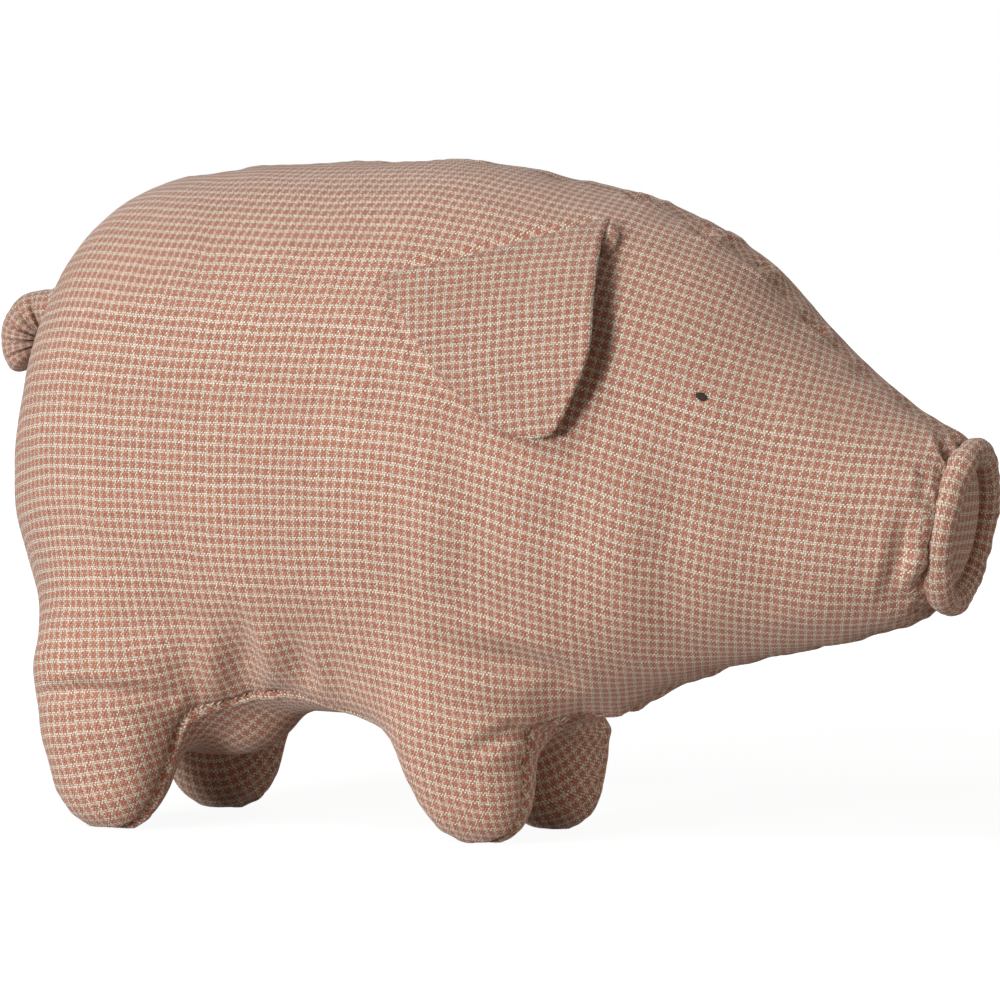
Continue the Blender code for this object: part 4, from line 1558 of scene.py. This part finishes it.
loose = (
    (((431, 366), (433, 371), (437, 375), (440, 379)), (0.4, 0.6, 0.9, 1.1)),
    (((438, 377), (443, 383), (449, 388)), (0.4, 0.7, 0.5)),
    (((902, 530), (905, 536), (906, 543)), (0.2, 0.5, 0.3)),
    (((896, 586), (902, 590), (909, 592), (914, 590)), (0.2, 0.5, 0.6, 0.3)),
    (((150, 604), (156, 606), (161, 606)), (0.2, 0.4, 0.2)),
)
loose_points, loose_faces = [], []
for pixels, lift in loose:
    add_closed(loose_points, loose_faces, thread_rings(pixels, lift))
loose_threads = thread_mesh("loose_threads", np.vstack(loose_points), loose_faces)
print("loose threads:", len(loose))

# %% [markdown]
# ## Tail
#
# The tail is a tube of cloth, gathered along its inner side by a thread, which
# curls it. The gathers are deep folds that run from the inside of the curl. A
# short stem joins the curl to the rump.

# %% Tail
tail_root = (body_start + 1.6 * mm, 146.6 * mm)  # x and z of the curl's middle
tail_pitch = math.radians(11)
tail_curl = 9.2 * mm
tail_thickness = 15.4 * mm
tail_root_turn = math.radians(112)
tail_tip_turn = math.radians(60)
tail_tip_share = 0.88
tail_root_share = 0.78
tail_join_turn = math.radians(80)  # here the curl meets the stem, which comes out of the rump
tail_stem_end = (14.5 * mm, 17.8 * mm)  # x and z from the curl's middle, inside the rump
tail_stem_bend = 5 * mm
tail_stem_steps = 18
tail_gathers = 7
gather_depth, gather_narrowing = 0.68, 1.2
gather_low = -0.3  # the cloth between two gathers is pulled in a little too
tail_wander = 0.05
tail_end_round = 0.1001  # share of the tail that rounds off its tip
tail_flat_length = 44 * mm
tail_steps, tail_sides = 110, 36
rump_point = Vector((tail_root[0], 0, tail_root[1]))
tail_out = Vector((-math.cos(tail_pitch), 0, math.sin(tail_pitch)))
tail_up = Vector((math.sin(tail_pitch), 0, math.cos(tail_pitch)))
join_share = (tail_root_turn - tail_join_turn) / (tail_root_turn + tail_tip_turn)
share = np.linspace(join_share, 1, tail_steps)[:, None]
roll = full_turn(tail_sides)[None]
turn = tail_root_turn - (tail_root_turn + tail_tip_turn) * share
taper = np.interp(share, (0, 0.45, 1), (tail_root_share, 1, tail_tip_share))
taper = taper * np.sqrt(np.clip(1 - ((share - 0.9) / tail_end_round).clip(0) ** 2, 0.0009, 1))
wandering = share + 0.012 * wave(share[:, 0], 0.06, 3.0)[:, None]
fold = np.maximum(np.cos(2 * math.pi * tail_gathers * wandering), gather_low) ** 2
inner_side = (1 - np.cos(roll)) / 2
radius = tail_thickness / 2 * taper * (1 - gather_depth * fold * inner_side**gather_narrowing)
radius = radius * (1 + tail_wander * wave(share[:, 0], 0.11, 8.0)[:, None])
direction = placed((0, 0, 0), (tail_out, tail_up), np.cos(turn), np.sin(turn))
tail_grid = np.array(rump_point) + direction * (tail_curl + radius * np.cos(roll))[..., None]
tail_grid[..., 1] += radius * np.sin(roll)
# The stem: a bend from inside the rump to the curl, so that the tail stays on when it is lifted.
out, up = np.array(tail_out), np.array(tail_up)
join = np.array(rump_point) + direction[0, 0] * tail_curl
bend = join - (math.sin(tail_join_turn) * out - math.cos(tail_join_turn) * up) * tail_stem_bend
inside = np.array(rump_point) + (tail_stem_end[0], 0, tail_stem_end[1])
t = np.linspace(0, 1, tail_stem_steps, endpoint=False)[:, None]
middle = (1 - t) ** 2 * inside + 2 * t * (1 - t) * bend + t**2 * join
ahead = unit((1 - t) * (bend - inside) + t * (join - bend))
across = (ahead @ out)[:, None] * up - (ahead @ up)[:, None] * out
stem = middle[:, None] + across[:, None] * (radius[:1] * np.cos(roll))[..., None]
stem[..., 1] += radius[:1] * np.sin(roll)
tail_grid = np.concatenate([stem, tail_grid])
spot = flat_map(tail_flat_length, len(tail_grid) + 1, math.pi * tail_thickness, tail_sides + 1)
tail = tube_mesh("tail_cloth_tube", tail_grid, spot)
print("tail faces", len(tail.data.polygons))

# %% [markdown]
# ## Eyes
#
# Each eye is an oval of satin stitch: dark threads laid side by side.

# %% Eyes
eye_row = 10.22
eye_angle = math.radians(20.0)
eye_length = 3.6 * mm
eye_height = 2.5 * mm
eye_threads = 9
eye_thread_share = 0.62  # a thread's radius, against the eye's length for each thread
eye_thread_slant = 0.18 * mm
eye_swell = 0.3 * mm
thread_sides, thread_steps = 8, 10
eyes = {}
eye_centre, eye_normal = on_skin(eye_row, math.pi - eye_angle, 0.1 * mm)
eye_ends = [body_point(row, math.pi - eye_angle) for row in (eye_row, eye_row + small_row)]
eye_along = Vector(eye_ends[1] - eye_ends[0])
eye_along = (eye_along - eye_normal * eye_along.dot(eye_normal)).normalized()
eye_rise = eye_normal.cross(eye_along)
thread_points, thread_faces = [], []
for k in range(eye_threads):
    place = (k + 0.5) / eye_threads * 2 - 1
    half = eye_height / 2 * math.sqrt(1 - 0.9 * place**2)
    rings = []
    for down in np.linspace(-1, 1, thread_steps):
        radius = eye_length / eye_threads * eye_thread_share * math.sqrt(max(1 - down**4, 0.01))
        middle = eye_centre + eye_along * (place * eye_length / 2 + eye_thread_slant * down)
        middle = middle + eye_rise * (half * down)
        middle = middle + eye_normal * (eye_swell * (1 - place**2) * (1 - down**2))
        outs = [eye_along * math.cos(a) + eye_normal * math.sin(a) for a in full_turn(thread_sides)]
        rings.append([tuple(middle + out * radius) for out in outs])
    add_closed(thread_points, thread_faces, np.array(rings))
thread_points = np.vstack(thread_points)
for hand, side in (("left", 1), ("right", -1)):
    eyes[hand] = thread_mesh(f"{hand}_eye_thread", thread_points * (1, -side, 1), thread_faces)
print("eye centre", (np.array(eye_centre) / mm).round(1))

# %% [markdown]
# ## Materials of the small pieces, and what rides where

# %% Dress and attach
eye_paint, _, _ = new_material("eye_thread", 0.55, colour=(0.035, 0.022, 0.016))
loose_threads.data.materials.append(stitch_paint)
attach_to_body(loose_threads, "pig")
for piece in rolls.values():
    piece.data.materials.append(check_cloth)
    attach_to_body(piece, "pig")
attach(snout_ring, "pig", ["snout_ring"], check_cloth)
attach(snout_disc, "pig", ["snout_disc"], check_cloth)
# The tail and the outer ears wear the darker copy of the check: painted shade.
attach(tail, "tail", ["tail"], painted_shade_check_cloth)
for hand in ("left", "right"):
    outer, lining = ears[hand]
    hem = hems[hand]
    attach(outer, f"{hand}_ear", [f"{hand}_ear_outer"], painted_shade_check_cloth)
    attach(lining, f"{hand}_ear", [f"{hand}_ear_lining"], check_cloth)
    attach(hem, "pig", [f"{hand}_ear_hem"], check_cloth)
    attach(eyes[hand], "pig", [f"{hand}_eye"], eye_paint)
print("attached")

# %% [markdown]
# ## The studio
#
# A white floor and large soft lamps, as in a plain product photograph.

# %% Floor, lamps and world
floor_half = 4.0
floor_for_light, floor_for_camera = (0.50, 0.42, 0.37), (0.85, 0.85, 0.85)
glow_from, glow_to = 0.14, 0.5  # metres from the middle, between which the floor turns into glow
glow_share_seen = 0.82  # what the camera sees is at least this much glow
glow_seen, glow_unseen = 1.09, 0.05
room_for_light, room_for_camera = (1, 0.75, 0.6), (1, 1, 1)
room_level = 0.03  # of the world, for all light that the camera doesn't see
lamp_distance = 2.5
lamp_off_floor = 0.02
white, warm = (1, 1, 1), (1, 0.93, 0.86)
# Turned from the pig's right side towards its snout, and up, in degrees; size in metres, power in watts.
lamps = {
    "key_lamp": (-13, 3, 0.6, 47, white),
    "side_lamp": (-50, 5, 0.6, 2, white),
    "high_lamp": (-20, 40, 0.9, 24, white),
    "front_lamp": (55, 8, 0.9, 4, warm),
    "snout_lamp": (100, 10, 0.9, 12, warm),
    "far_lamp": (180, 60, 1.2, 10, warm),
}


def seen_rays(start):
    """1 for what the camera sees, also in metal or through glass, and 0 for all other light."""
    kinds = ("Camera", "Glossy", "Transmission")
    rays = [start.node("ShaderNodeLightPath", output=f"Is {kind} Ray") for kind in kinds]
    total = rays[0] + rays[1] + rays[2]
    return total.math("MINIMUM", total, 1.0)


corners = [(x * floor_half, y * floor_half, 0) for x, y in ((-1, -1), (1, -1), (1, 1), (-1, 1))]
floor = new_object("floor", corners, [(0, 1, 2, 3)])
# The camera sees a white floor with the pig's soft shadow on it, other light a darker, warmer one.
floor_paint, floor_shader, start = new_material("floor_paint", 1.0)
floor_shader.inputs["Specular IOR Level"].default_value = 0.0
seen = seen_rays(start)
feed(seen.mix(floor_for_light, floor_for_camera), floor_shader, "Base Color")
place = start.node("ShaderNodeTexCoord", output="Object")
away = start.node("ShaderNodeVectorMath", {"operation": "LENGTH"}, "Value", _0=place)
soft = {"interpolation_type": "SMOOTHSTEP"}
far = start.node("ShaderNodeMapRange", soft, Value=away, From_Min=glow_from, From_Max=glow_to)
far = far.math("MAXIMUM", far, seen * glow_share_seen)
glow = start.node("ShaderNodeEmission", Color=(1, 1, 1, 1), Strength=seen * glow_seen + glow_unseen)
plain = Value(start.tree, floor_shader.outputs[0])
blended = start.node("ShaderNodeMixShader", _0=far, _1=plain, _2=glow)
feed(blended, start.tree.nodes["Material Output"], "Surface")
floor.data.materials.append(floor_paint)
for name, (azimuth, elevation, size, power, colour) in lamps.items():
    place = view_target + lamp_distance * towards(math.radians(azimuth), math.radians(elevation))
    place.z = max(place.z, size / 2 + lamp_off_floor)
    data = bpy.data.lights.new(name, "AREA")
    data.shape = "SQUARE"
    data.size, data.energy, data.color = size, power, colour
    lamp = bpy.data.objects.new(name, data)
    scene.collection.objects.link(lamp)
    lamp.location = place
    lamp.rotation_euler = (view_target - place).to_track_quat("-Z", "Y").to_euler()
world = bpy.data.worlds.new("studio")
scene.world = world
world.use_nodes = True
seen = seen_rays(Value(world.node_tree, None))
backdrop = world.node_tree.nodes["Background"]
level = seen.node("ShaderNodeMapRange", Value=seen, To_Min=room_level, To_Max=1.0)
feed(seen.mix(room_for_light, room_for_camera), backdrop, "Color")
feed(level, backdrop, "Strength")
scene.view_settings.view_transform = "Standard"
print("lamps:", len(lamps))

# %% Finish
bpy.data.objects.remove(skin)
